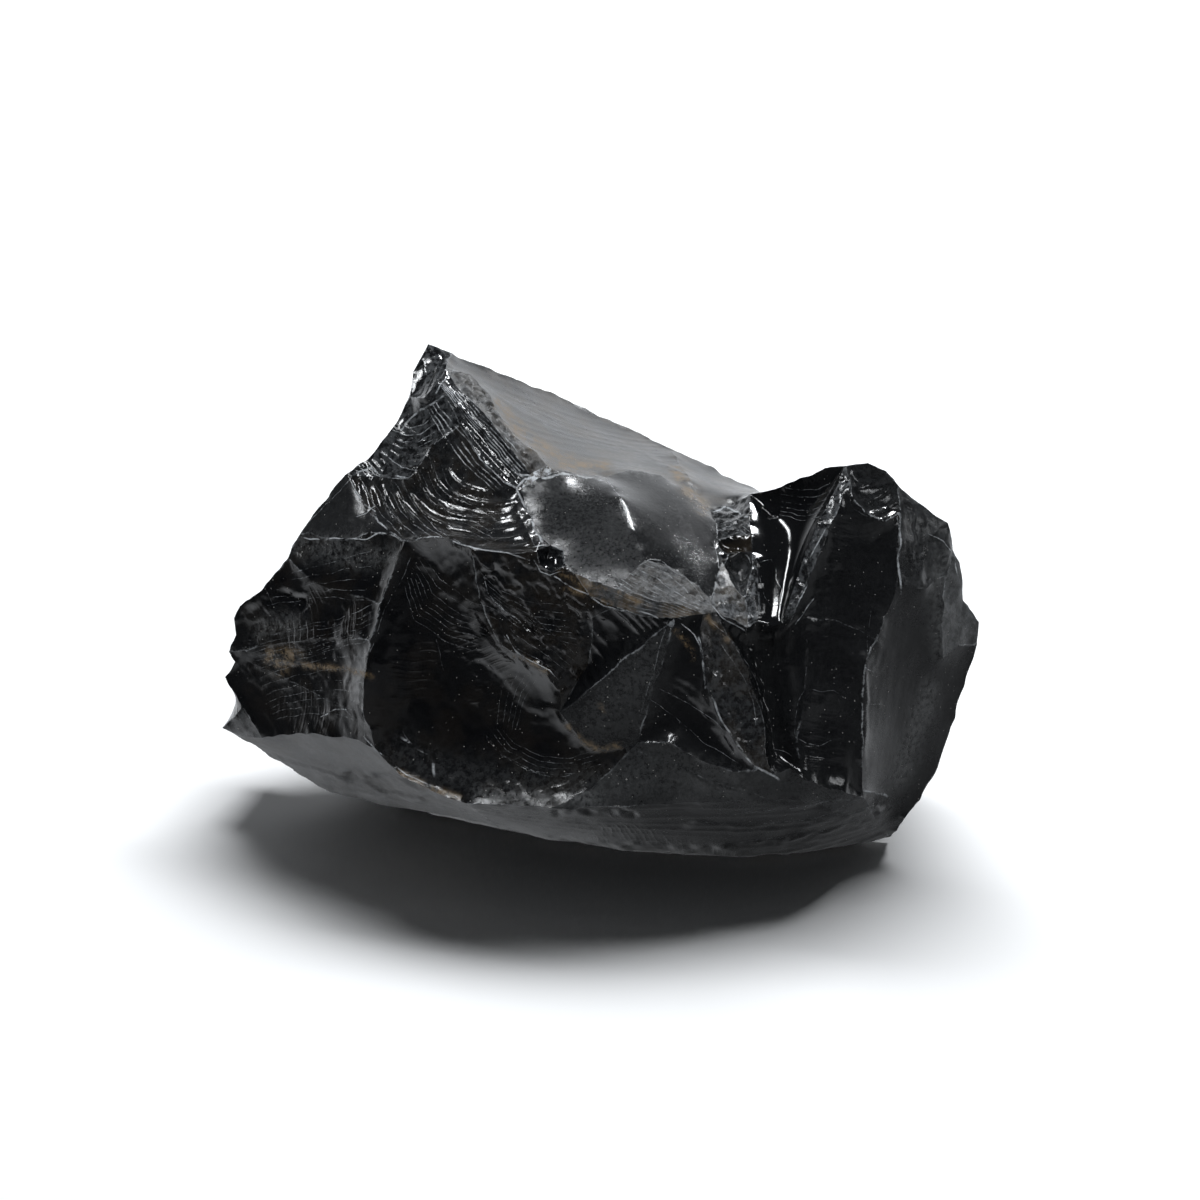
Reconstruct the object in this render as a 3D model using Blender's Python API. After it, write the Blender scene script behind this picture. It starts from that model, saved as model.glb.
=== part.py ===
"""One chunk of obsidian: a block of volcanic glass, bounded by the scars that flakes left as they split off.

The whole chunk is one solid. It is drawn as a net of corners joined by ridges. Each mesh of the net is one
fracture face, and each face is a skin stretched between its ridges, hollowed or domed by its own depth.
"""

import math

import bpy
import numpy as np
from mathutils import Vector
from mathutils.geometry import delaunay_2d_cdt

MM = 0.001

# The corners on the near side are given as they are sighted from one station in front of the chunk: how far
# across and up they appear, in the plane that stands square to the line of sight at the chunk's middle, and
# either how far behind that middle they lie or how high above the ground.
STATION_DISTANCE = 466.7
STATION_ELEVATION = math.radians(20)
MIDDLE = np.array((2.2, -4.5, 47.0))

# name: (across, up, back), in millimetres
SIGHTED_BACK = {
    # the sharp top and the scar on its left side
    "apex": (-34.4, 51.2, 12), "tip1": (-29.6, 49.4, 15), "tip2": (-30.8, 46.4, 6),
    "tip3": (-32.6, 43.4, 0), "tip4": (-35.2, 40.4, -1), "tip5": (-38.0, 40.6, 5), "tip6": (-37.4, 45.6, 9),
    # the far rim of the top face
    "rim1": (-8.0, 40.6, 34), "rim2": (8.0, 33.4, 36), "rim3": (14.4, 30.2, 30), "rim4": (31.8, 21.8, 22),
    # the broken crest between the top face and the flutes
    "crest1": (-26.0, 45.2, 8), "crest2": (-22.0, 41.0, 4), "crest3": (-19.4, 36.0, -2),
    "crest4": (-15.6, 31.4, -7), "crest5": (-10.6, 26.8, -11),
    "lip1": (-14.0, 25.2, -12), "lip2": (-18.4, 30.8, -9), "lip3": (-23.2, 37.4, -4), "lip4": (-29.0, 43.2, 2),
    # the flutes, down to the knot where five scars meet
    "knot": (-15.6, 22.4, -14), "flute1": (-20.6, 24.4, -13), "flute2": (-24.4, 29.0, -9),
    "flute3": (-28.0, 35.0, -5), "flute4": (-30.6, 40.0, -2),
    # the left shoulder and the rippled scar
    "shoulder1": (-41.4, 34.6, 2), "shoulder2": (-46.4, 28.2, 1), "shoulder3": (-51.0, 25.0, 0),
    "shoulder4": (-56.4, 18.4, -1),
    "ripple1": (-49.0, 21.6, -4), "ripple2": (-46.4, 17.6, -8), "ripple3": (-43.0, 14.6, -15),
    "ripple4": (-45.0, 24.6, -3), "ripple5": (-38.0, 24.4, -9), "ripple6": (-33.6, 31.0, -6),
    # the brow, between the top of the chunk and its dark front
    "brow0": (-60.0, 13.2, -2), "brow1": (-52.0, 11.8, -10), "brow2": (-46.0, 13.6, -13),
    "brow3": (-39.0, 12.0, -20), "brow4": (-32.0, 12.4, -24), "brow5": (-26.0, 10.4, -27),
    "brow6": (-19.0, 9.4, -30), "brow7": (-12.6, 10.0, -30), "brow8": (-5.0, 5.2, -32),
    "brow9": (0.0, 3.4, -34), "brow10": (3.6, 2.0, -35), "brow11": (11.0, -0.2, -36),
    "brow12": (17.0, -1.2, -36), "brow13": (20.6, -2.8, -36), "brow14": (23.2, -2.4, -34),
    # the wedge and the pit beside the dome
    "wedge1": (-16.6, 18.4, -18), "wedge2": (-14.4, 13.6, -25), "wedge3": (-14.6, 17.6, -18),
    "wedge4": (-12.0, 13.0, -24),
    "pit1": (-10.0, 11.0, -26), "pit2": (-7.4, 10.0, -27), "pit3": (-7.0, 7.0, -30), "pit4": (-9.6, 5.6, -32),
    "pit5": (-12.0, 7.0, -32),
    # the dome
    "dome1": (-12.6, 24.2, -13), "dome2": (-8.8, 25.8, -11), "dome3": (-4.0, 25.2, -8),
    "dome4": (1.0, 24.6, -5), "dome5": (6.0, 26.0, 0), "dome6": (12.0, 25.0, 2), "dome7": (17.6, 22.0, 0),
    "dome8": (22.0, 18.0, -3), "dome9": (23.2, 15.6, -8), "dome10": (23.4, 12.0, -14),
    "dome11": (24.4, 7.6, -21), "dome12": (23.2, 4.0, -26), "dome13": (22.4, 0.0, -31),
    "dome14": (19.4, 3.0, -29), "dome15": (14.4, 6.4, -27), "dome16": (9.0, 8.0, -29),
    "crease1": (4.0, 20.6, -16), "crease2": (6.6, 14.0, -24),
    "fold": (18.0, 24.0, 8),
    # the saddle between the dome and the lobe
    "saddle1": (27.0, 19.2, 2), "saddle2": (30.0, 21.2, -4), "saddle3": (29.8, 17.2, -10),
    "saddle4": (30.4, 13.2, -15), "saddle5": (27.0, 12.8, -14), "saddle6": (30.4, 9.6, -19),
    "saddle7": (28.0, 9.6, -19), "saddle8": (29.8, 4.4, -25), "saddle9": (29.0, 0.4, -28),
    "saddle10": (27.0, 2.4, -27), "saddle11": (29.6, -5.6, -31), "saddle12": (27.0, -4.0, -32),
    # the lobe's crest, the band of chips down its left edge, and the sill under its scar
    "lobe1": (35.0, 22.2, -8), "lobe2": (40.0, 24.4, -12), "lobe3": (45.0, 26.4, -15),
    "lobe4": (49.0, 26.8, -17), "lobe5": (53.6, 27.4, -17), "lobe6": (57.2, 25.8, -17),
    "lobe7": (59.6, 23.0, -16),
    "band1": (47.6, 23.0, -19), "band2": (45.2, 18.4, -22), "band3": (42.6, 13.0, -24),
    "band4": (40.6, 8.0, -26), "band5": (39.0, 3.0, -28), "band6": (37.2, -2.4, -30),
    "band7": (36.6, -4.8, -31),
    "edge1": (50.0, 24.0, -19), "edge2": (48.0, 19.0, -23), "edge3": (45.8, 14.4, -25),
    "edge4": (44.6, 10.4, -27), "edge5": (42.4, 5.6, -28.5), "edge6": (41.0, 1.6, -30),
    "edge7": (39.2, -2.4, -31),
    "sill1": (33.6, -5.2, -31), "sill2": (31.4, -4.0, -30), "sill3": (31.4, 8.0, -21),
    "chip1": (50.6, 20.4, -22), "chip2": (53.2, 17.4, -23), "chip3": (57.0, 15.8, -23),
    "chip4": (60.2, 17.6, -19),
    # the corner between the front of the lobe and the right flank
    "corner1": (59.6, 11.0, -23), "corner2": (59.4, 5.0, -25), "corner3": (58.6, 0.0, -27),
    "corner4": (56.0, -6.4, -30), "corner5": (53.2, -12.4, -33), "corner6": (52.4, -20.0, -34),
    "corner7": (52.4, -32.0, -36), "corner8": (52.8, -39.6, -35), "corner9": (55.0, -43.6, -26),
    # the right flank
    "flank1": (65.0, 18.6, -15), "flank2": (69.6, 15.4, -16), "flank3": (70.6, 10.0, -16),
    "flank4": (69.4, 5.0, -18), "flank5": (65.0, 2.0, -23), "flank6": (61.0, 3.0, -25),
    "flank7": (72.4, 5.0, -15), "flank8": (72.6, 0.0, -15), "flank9": (75.8, -4.4, -13),
    "flank10": (75.4, -9.0, -14), "flank11": (71.6, -9.0, -18), "flank12": (68.6, -11.6, -21),
    "flank13": (68.4, -4.0, -20), "flank14": (69.0, -29.0, -17), "flank15": (64.0, -40.0, -21),
    "flank16": (61.0, -43.6, -22),
    # the front: the gash of crushed glass, the rib beside it and the sump behind the rib
    "gash1": (20.0, -6.0, -37), "gash2": (20.6, -11.0, -39), "gash3": (21.6, -18.4, -41),
    "gash4": (24.4, -24.4, -42), "gash5": (27.6, -29.6, -43), "gash6": (32.0, -34.0, -43),
    "rib1": (24.4, -5.0, -35), "rib2": (27.6, -10.0, -37), "rib3": (30.4, -17.0, -39),
    "rib4": (33.0, -25.0, -41), "rib5": (33.2, -31.0, -42), "rib6": (34.4, -34.8, -43),
    "sump1": (40.0, -4.0, -31), "sump2": (41.2, -10.0, -33), "sump3": (40.6, -20.0, -36),
    "sump4": (39.4, -29.0, -38), "sump5": (38.0, -33.6, -41),
    "shelf1": (41.0, -36.0, -41), "shelf2": (49.0, -38.4, -39),
    # the flat triangle, the nook above it and the hackly break on its left
    "tri1": (15.0, -3.6, -36), "tri2": (13.0, -11.0, -37), "tri3": (10.4, -19.0, -37), "tri4": (7.6, -28.4, -37),
    "tri5": (2.4, -29.8, -36), "tri6": (-2.0, -29.6, -35), "tri7": (-5.0, -26.4, -34), "tri8": (-8.0, -22.4, -33),
    "nook1": (-1.6, -3.6, -33), "nook2": (-2.4, -13.0, -31),
    "under1": (-2.0, 0.8, -33), "under2": (3.0, -1.4, -34), "under3": (9.0, -3.4, -35),
    "hackle1": (-24.0, 0.0, -27), "hackle2": (-20.0, -9.0, -29), "hackle3": (-12.0, -13.0, -33),
    "hackle4": (-8.0, -18.0, -33),
    # the ridge on the left of the bowl, the step and the keel under the front
    "side1": (-41.4, 5.6, -21), "side2": (-44.0, -1.0, -22), "side3": (-46.0, -8.0, -24),
    "side4": (-47.2, -16.0, -26), "side5": (-47.6, -23.0, -27),
    "step1": (14.0, -28.4, -40), "step2": (20.0, -32.0, -42), "step3": (27.0, -34.4, -43),
    "bowl1": (-2.0, -38.0, -38),
    "keel1": (-27.0, -40.6, -33), "keel2": (-10.0, -41.6, -38), "keel3": (8.0, -41.0, -41),
    "keel4": (28.0, -40.0, -42), "keel5": (40.0, -40.0, -41), "keel6": (50.0, -43.0, -33),
    # the left end, with its spur
    "left1": (-62.4, 8.4, -4), "left2": (-67.6, 2.0, -2), "left3": (-72.0, -1.2, 1), "left4": (-73.2, -3.6, 2),
    "left5": (-72.8, -7.0, 2), "left6": (-74.2, -10.4, 3), "left7": (-73.0, -12.4, 2),
    "left8": (-75.0, -15.4, 4), "left9": (-71.6, -21.4, 0),
    "spur1": (-75.6, -25.6, 4), "spur2": (-72.0, -27.2, 2), "spur3": (-69.6, -24.4, -2),
    "lower1": (-67.6, -27.6, -3), "lower2": (-60.0, -26.6, -10), "lower3": (-50.0, -27.6, -21),
    "lower4": (-45.0, -29.6, -27), "lower5": (-40.0, -35.0, -29), "lower6": (-34.0, -38.0, -31),
    "seam1": (-57.0, 3.4, -10), "seam2": (-51.0, 1.6, -14), "seam3": (-64.0, -8.6, -6), "seam4": (-54.0, -7.4, -14),
}

# name: (across, up, height above the ground), in millimetres
SIGHTED_LOW = {
    "heel": (58.0, -47.4, 1.0), "toe1": (52.4, -48.6, 2.0), "toe2": (40.0, -50.6, 2.0),
    "toe3": (28.0, -51.4, 2.0), "toe4": (8.0, -50.0, 2.0), "toe5": (-10.0, -48.0, 2.0),
    "toe6": (-20.0, -45.6, 2.5), "toe7": (-30.0, -43.2, 3.0), "toe8": (-40.0, -41.6, 3.0),
    "toe9": (-54.0, -38.4, 4.0), "toe10": (-60.0, -35.0, 6.0), "toe11": (-67.6, -30.0, 9.0),
}

# name: (x, y, z) from the origin, in millimetres, for the foot and the far side
PLACED = {
    "foot1": (52, -17, 0), "foot2": (30, -23, 0), "foot3": (6, -21, 0), "foot4": (-18, -12, 0),
    "foot5": (-40, -1, 0), "foot6": (-38, 17, 0), "foot7": (-8, 30, 0), "foot8": (33, 27, 0),
    "foot9": (53, 4, 0),
    "rear1": (-53, 18, 52), "rear2": (-34, 29, 69), "rear3": (-15, 42, 62), "rear4": (24, 44, 44),
    "rear5": (42, 33, 50), "rear6": (62, 12, 53), "rear7": (72, 14, 31), "rear8": (59, 27, 11),
    "rear9": (35, 42, 18), "rear10": (-4, 47.5, 13), "rear11": (-45, 36, 34), "rear12": (-68, 23, 29),
    "rear13": (-71, 17, 14),
}

# name: (how far its middle stands out of its ridges, in millimetres, the corners round it)
FACES = {
    "tip_scar": (-0.6, "apex tip1 tip2 tip3 tip4 tip5 tip6"),
    "top_face": (-2.0, "tip1 rim1 rim2 rim3 fold dome8 dome7 dome6 dome5 dome4 dome3 dome2 crest5 crest4 crest3"
                       " crest2 crest1 tip2"),
    "fold_face": (-0.5, "rim3 rim4 saddle2 saddle1 dome8 fold"),
    "crest_break": (0.3, "tip2 crest1 crest2 crest3 crest4 crest5 lip1 lip2 lip3 lip4"),
    "knot_break": (0.2, "lip1 crest5 dome2 dome1 knot"),
    "flutes": (-1.0, "tip3 tip2 lip4 lip3 lip2 lip1 knot flute1 flute2 flute3 flute4"),
    "small_ripples": (-1.0, "tip5 tip4 tip3 flute4 flute3 ripple6 ripple5 ripple4 shoulder3 shoulder2 shoulder1"),
    "ripple_scar": (-2.5, "flute3 flute2 flute1 knot wedge1 wedge2 brow7 brow6 brow5 brow4 brow3 ripple3 ripple2"
                          " ripple1 shoulder3 ripple4 ripple5 ripple6"),
    "left_plane": (0.3, "shoulder3 ripple1 ripple2 ripple3 brow3 brow2 brow1 brow0 shoulder4"),
    "wedge": (0.0, "knot wedge3 wedge4 pit1 brow7 wedge2 wedge1"),
    "dome_left": (1.0, "knot dome1 dome2 dome3 dome4 crease1 crease2 dome16 brow10 brow9 brow8 pit3 pit2 pit1"
                       " wedge4 wedge3"),
    "dome_right": (0.8, "dome4 dome5 dome6 dome7 dome8 dome9 dome10 dome11 dome12 dome13 dome14 dome15 dome16"
                        " crease2 crease1"),
    "pit": (-2.0, "pit1 pit2 pit3 pit4 pit5 brow7"),
    "rough_patch": (0.3, "dome16 dome15 dome14 dome13 brow14 brow13 brow12 brow11 brow10"),
    "lip": (0.3, "brow8 brow9 brow10 brow11 brow12 brow13 tri1 under3 under2 under1"),
    "saddle_face": (-0.5, "dome8 saddle1 saddle2 saddle3 saddle4 saddle5 dome10 dome9"),
    "saddle_step": (-0.5, "dome10 saddle5 saddle4 saddle6 saddle7 dome11"),
    "saddle_pit": (-3.0, "dome11 saddle7 saddle6 saddle8 saddle9 saddle10"),
    "saddle_wing": (-0.3, "dome11 saddle10 saddle9 saddle11 saddle12 brow14 dome13 dome12"),
    "saddle_rib": (0.3, "saddle6 sill3 sill2 saddle11 saddle9 saddle8"),
    "lobe_scar": (-4.0, "saddle2 lobe1 lobe2 lobe3 lobe4 band1 band2 band3 band4 band5 band6 band7 sill1 sill2"
                        " sill3 saddle6 saddle4 saddle3"),
    "lobe_band": (-0.2, "lobe4 edge1 edge2 edge3 edge4 edge5 edge6 edge7 band7 band6 band5 band4 band3 band2 band1"),
    "lobe_chip": (-1.2, "lobe4 lobe5 lobe6 lobe7 chip4 chip3 chip2 chip1 edge1"),
    "lobe_front": (-1.5, "edge1 chip1 chip2 chip3 chip4 corner1 corner2 corner3 corner4 corner5 corner6 corner7"
                         " corner8 shelf2 shelf1 sump4 sump3 sump2 sump1 edge7 edge6 edge5 edge4 edge3 edge2"),
    "hollow": (-6.0, "band7 edge7 sump1 sump2 sump3 sump4 shelf1 sump5 rib6 rib5 rib4 rib3 rib2 rib1 brow14"
                     " saddle12 saddle11 sill2 sill1"),
    "rib_face": (-0.5, "brow13 brow14 rib1 rib2 rib3 rib4 rib5 rib6 gash6 gash5 gash4 gash3 gash2 gash1"),
    "dark_face": (-2.0, "tri1 brow13 gash1 gash2 gash3 gash4 gash5 gash6 step3 step2 step1 tri4 tri3 tri2"),
    "toe_face": (0.5, "tri4 step1 step2 step3 gash6 rib6 sump5 shelf1 shelf2 corner8 corner9 heel keel6 keel5"
                      " keel4 keel3 keel2 bowl1"),
    "triangle": (0.0, "tri1 tri2 tri3 tri4 tri5 tri6 tri7 tri8"),
    "nook": (-1.0, "under2 under3 tri1 tri8 nook2 nook1"),
    "hackly": (0.5, "brow7 pit5 pit4 pit3 brow8 under1 under2 nook1 nook2 tri8 hackle4 hackle3 hackle2 hackle1"
                    " brow5 brow6"),
    "bowl": (-5.0, "brow3 brow4 brow5 hackle1 hackle2 hackle3 hackle4 tri8 tri7 tri6 tri5 tri4 bowl1 keel2 keel1"
                   " lower6 lower5 lower4 side5 side4 side3 side2 side1"),
    "left_top": (-1.0, "brow0 brow1 brow2 brow3 side1 side2 seam2 seam1 left1"),
    "left_mid": (-1.0, "left1 seam1 seam2 side2 side3 seam4 seam3 left6 left5 left4 left3 left2"),
    "left_low": (-1.0, "left6 seam3 seam4 side3 side4 side5 lower4 lower3 lower2 lower1 spur3 left9 left8 left7"),
    "spur_face": (0.0, "spur1 left9 spur3 lower1 spur2"),
    "under_left": (-0.8, "spur2 lower1 lower2 lower3 lower4 lower5 lower6 keel1 toe6 toe7 toe8 toe9 toe10 toe11"),
    "under_front": (0.8, "keel1 keel2 keel3 keel4 keel5 keel6 heel toe1 toe2 toe3 toe4 toe5 toe6"),
    "flank_rough": (0.5, "lobe7 flank1 flank2 flank3 flank4 flank5 flank6 corner2 corner1 chip4"),
    "flank_face": (-0.8, "corner2 flank6 flank5 flank4 flank13 flank12 flank11 flank10 flank14 flank15 flank16"
                         " heel corner9 corner8 corner7 corner6 corner5 corner4 corner3"),
    "flank_knob": (0.0, "flank4 flank3 flank7 flank8 flank9 flank10 flank11 flank12 flank13"),
    # the underside and the face that the chunk rests on
    "rest_face": (0.0, "foot1 foot9 foot8 foot7 foot6 foot5 foot4 foot3 foot2"),
    "belly_right": (0.0, "heel foot1 foot2 foot3 toe4 toe3 toe2 toe1"),
    "belly_middle": (0.0, "toe4 foot3 foot4 foot5 toe8 toe7 toe6 toe5"),
    "belly_left": (0.0, "toe8 foot5 foot6 toe10 toe9"),
    # the far side
    "rear_shoulder": (-2.0, "apex tip6 tip5 shoulder1 shoulder2 shoulder3 rear1 rear2"),
    "rear_left_brow": (-1.0, "shoulder3 shoulder4 brow0 left1 left2 rear1"),
    "rear_left": (-1.5, "left2 left3 left4 left5 left6 left7 left8 rear12 rear1"),
    "rear_spur": (-0.5, "left8 left9 spur1 rear13 rear12"),
    "spur_under": (0.0, "spur1 spur2 toe11 rear13"),
    "rear_top": (-3.0, "apex rear2 rear3 rim1 tip1"),
    "rear_brow": (-1.0, "rim1 rear3 rear4 rim2"),
    "rear_notch": (-2.0, "rim2 rear4 rear5 rim4 rim3"),
    "lobe_rear": (-2.0, "rim4 rear5 lobe3 lobe2 lobe1 saddle2"),
    "lobe_rear_crest": (-2.0, "lobe3 rear5 rear6 lobe6 lobe5 lobe4"),
    "lobe_rear_flank": (0.5, "lobe6 rear6 flank8 flank7 flank3 flank2 flank1 lobe7"),
    "rear_knob": (-0.5, "flank8 rear6 rear7 flank10 flank9"),
    "rear_flank": (-1.5, "flank10 rear7 rear8 flank15 flank14"),
    "rear_heel": (-0.5, "flank15 rear8 foot9 foot1 heel flank16"),
    "rear_right_wall": (-3.0, "rear5 rear9 rear8 rear7 rear6"),
    "rear_wall": (-3.0, "rear3 rear10 rear9 rear5 rear4"),
    "rear_left_wall": (-3.0, "rear2 rear11 rear10 rear3"),
    "rear_end_wall": (-3.0, "rear1 rear12 rear11 rear2"),
    "rear_foot_right": (-1.0, "rear8 rear9 foot8 foot9"),
    "rear_foot": (-1.5, "rear9 rear10 foot7 foot8"),
    "rear_foot_left": (-1.0, "rear10 rear11 foot6 foot7"),
    "rear_foot_end": (-1.0, "rear11 rear12 rear13 toe11 toe10 foot6"),
}

SEED = 7
GRAIN = 3.8                # the usual size of a triangle inside a face
RIDGE_GRAIN = 3.0          # the usual length of one straight run of a ridge
RIDGE_WAVER = 0.05         # how far a ridge strays from straight, as a share of one run
JITTER = 0.2               # how far the points in a face stray from an even grid, as a share of the grain
CLEAR_OF_RIDGE = 0.55      # how far the points in a face stay from its ridges, as a share of the grain
NEARLY_LEVEL = 0.9         # the upward share of a face's outward way, past which its axes are laid by Y, not by Z
SAME_PLACE = 1e-5          # how close two points of a flat face lie when they count as one, in millimetres
KEEP_INSIDE = 1            # the triangulation's own number for keeping what lies inside the outline

OBSIDIAN_COLOUR = (0.012, 0.013, 0.015, 1.0)
OBSIDIAN_ROUGHNESS = 0.22


def clear_scene():
    for item in list(bpy.data.objects):
        bpy.data.objects.remove(item, do_unlink=True)


def sight_line(across, up):
    """Return the station, and the way from it to a sighted place."""
    upward = np.array((0.0, math.sin(STATION_ELEVATION), math.cos(STATION_ELEVATION)))
    backward = np.array((0.0, math.cos(STATION_ELEVATION), -math.sin(STATION_ELEVATION)))
    station = MIDDLE - STATION_DISTANCE * backward
    return station, MIDDLE + across * np.array((1.0, 0.0, 0.0)) + up * upward - station


def corner_points():
    """Return the place of every corner."""
    points = {name: np.array(place, dtype=float) for name, place in PLACED.items()}
    for name, (across, up, back) in SIGHTED_BACK.items():
        station, way = sight_line(across, up)
        points[name] = station + way * (MIDDLE[1] + back - station[1]) / way[1]
    for name, (across, up, height) in SIGHTED_LOW.items():
        station, way = sight_line(across, up)
        points[name] = station + way * (height - station[2]) / way[2]
    return points


def ridge_points(start, end, random):
    """Return the points along a ridge, without its ends. It strays a little from straight."""
    length = np.linalg.norm(end - start)
    runs = max(1, round(length / RIDGE_GRAIN))
    shares = np.arange(1, runs)[:, None] / runs
    stray = random.normal(0.0, RIDGE_WAVER * length / runs, (runs - 1, 3))
    if start[2] == end[2]:
        stray[:, 2] = 0.0
    return start + (end - start) * shares + stray


def face_axes(outline):
    """Return two axes across a face and the one out of it. The outline runs clockwise, seen from outside."""
    after = np.roll(outline, -1, axis=0)
    out = -np.cross(outline, after).sum(axis=0)
    out /= np.linalg.norm(out)
    across = np.cross((0.0, 0.0, 1.0) if abs(out[2]) < NEARLY_LEVEL else (0.0, 1.0, 0.0), out)
    across /= np.linalg.norm(across)
    return across, np.cross(out, across), out


def spread(inside, outline):
    """Return each outline point's weight at each inside point, and how far from the outline each one is.

    The weights are mean value weights: they carry the outline's heights smoothly over the face.
    """
    arm = outline[None] - inside[:, None]
    reach = np.linalg.norm(arm, axis=2)
    after = np.roll(arm, -1, axis=1)
    turn = arm[..., 0] * after[..., 1] - arm[..., 1] * after[..., 0]
    half = turn / (reach * np.roll(reach, -1, axis=1) + (arm * after).sum(axis=2))
    weight = (half + np.roll(half, 1, axis=1)) / reach
    total = weight.sum(axis=1)
    return weight / total[:, None], 1.0 / np.abs(total)


def inner_grid(outline, random):
    """Return points in an uneven triangular grid inside a flat outline, clear of its edge."""
    low, high = outline.min(axis=0), outline.max(axis=0)
    rows = np.arange(low[1], high[1], GRAIN * math.sqrt(0.75))
    columns = np.arange(low[0] - GRAIN, high[0], GRAIN)
    grid = np.array([(x + GRAIN / 2 * (i % 2), y) for i, y in enumerate(rows) for x in columns])
    grid += random.uniform(-JITTER * GRAIN, JITTER * GRAIN, grid.shape)
    after = np.roll(outline, -1, axis=0)
    inside = np.zeros(len(grid), dtype=bool)
    clear = np.full(len(grid), np.inf)
    for start, end in zip(outline, after):
        crosses = (start[1] > grid[:, 1]) != (end[1] > grid[:, 1])
        if start[1] != end[1]:
            x = start[0] + (end[0] - start[0]) * (grid[:, 1] - start[1]) / (end[1] - start[1])
            inside ^= crosses & (grid[:, 0] < x)
        run = end - start
        share = np.clip((grid - start) @ run / (run @ run), 0.0, 1.0)
        clear = np.minimum(clear, np.linalg.norm(grid - start - share[:, None] * run, axis=1))
    return grid[inside & (clear > CLEAR_OF_RIDGE * GRAIN)]


def skin(outline, bulge, random):
    """Return the points inside one face, and its triangles over the outline's points and then those."""
    across, along, out = face_axes(outline)
    middle = outline.mean(axis=0)
    flat = (outline - middle) @ np.stack((across, along), axis=1)
    height = (outline - middle) @ out
    grid = inner_grid(flat, random)
    points = np.zeros((0, 3))
    if len(grid):
        weight, reach = spread(grid, flat)
        lift = weight @ height + bulge * reach / reach.max()
        points = middle + grid @ np.stack((across, along)) + lift[:, None] * out
    places = [Vector(place) for place in np.vstack((flat, grid))]
    loop = list(range(len(flat)))[::-1]
    _, _, triangles, origins, _, _ = delaunay_2d_cdt(places, [], [loop], KEEP_INSIDE, SAME_PLACE)
    return points, [[origins[corner][0] for corner in triangle] for triangle in triangles]


def chunk_mesh():
    """Return the mesh of the whole chunk: every face's skin, joined along the ridges."""
    random = np.random.default_rng(SEED)
    corners = corner_points()
    points = list(corners.values())
    number = {name: i for i, name in enumerate(corners)}
    ridges = {}
    triangles = []
    for bulge, names in FACES.values():
        names = names.split()
        loop = []
        for start, end in zip(names, names[1:] + names[:1]):
            if (end, start) in ridges:
                between = ridges[end, start][::-1]
            else:
                run = ridge_points(corners[start], corners[end], random)
                between = list(range(len(points), len(points) + len(run)))
                points.extend(run)
                ridges[start, end] = between
            loop += [number[start]] + between
        inner, local = skin(np.array([points[i] for i in loop]), bulge, random)
        loop += range(len(points), len(points) + len(inner))
        points.extend(inner)
        triangles += [[loop[corner] for corner in triangle] for triangle in local]
    mesh = bpy.data.meshes.new("obsidian_chunk")
    mesh.from_pydata([Vector(point) * MM for point in points], [], triangles)
    mesh.update()
    return mesh


def obsidian():
    """Return the material: black volcanic glass."""
    material = bpy.data.materials.new("obsidian")
    material.use_nodes = True
    shader = material.node_tree.nodes["Principled BSDF"]
    shader.inputs["Base Color"].default_value = OBSIDIAN_COLOUR
    shader.inputs["Roughness"].default_value = OBSIDIAN_ROUGHNESS
    shader.inputs["Metallic"].default_value = 0.0
    return material


def obsidian_chunk():
    mesh = chunk_mesh()
    mesh.materials.append(obsidian())
    chunk = bpy.data.objects.new("obsidian_chunk", mesh)
    bpy.context.scene.collection.objects.link(chunk)
    return chunk


clear_scene()
obsidian_chunk()
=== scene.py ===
"""The looks of the obsidian chunk: its fine surface, its glass, its dust and stains, pale lines that partly paint its
highlights, and a plain studio round it.

The chunk is drawn again from the same corners and ridges as its solid, on a much finer grain. Each face then
gets the relief that its break left on it: ripples round the point it was struck at, fans of fine lines,
flutes, steps or hackles.
"""

import math
from string import digits

import bpy
import numpy as np
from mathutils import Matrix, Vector
from mathutils.geometry import delaunay_2d_cdt


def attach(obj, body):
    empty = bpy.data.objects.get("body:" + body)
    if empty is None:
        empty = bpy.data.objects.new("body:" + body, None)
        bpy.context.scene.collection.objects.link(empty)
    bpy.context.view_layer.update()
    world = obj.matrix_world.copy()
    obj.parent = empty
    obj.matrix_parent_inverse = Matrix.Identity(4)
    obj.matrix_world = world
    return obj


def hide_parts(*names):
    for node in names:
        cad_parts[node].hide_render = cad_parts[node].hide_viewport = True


MM = 0.001

# The corners on the near side are given as they are sighted from one station in front of the chunk: how far
# across and up they appear, in the plane that stands square to the line of sight at the chunk's middle, and
# either how far behind that middle they lie or how high above the ground. A row names its first corner, and its
# other corners are numbered on from that name.
STATION_DISTANCE = 466.7
STATION_ELEVATION = math.radians(20)
MIDDLE = np.array((2.2, -4.5, 47.0))

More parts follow.
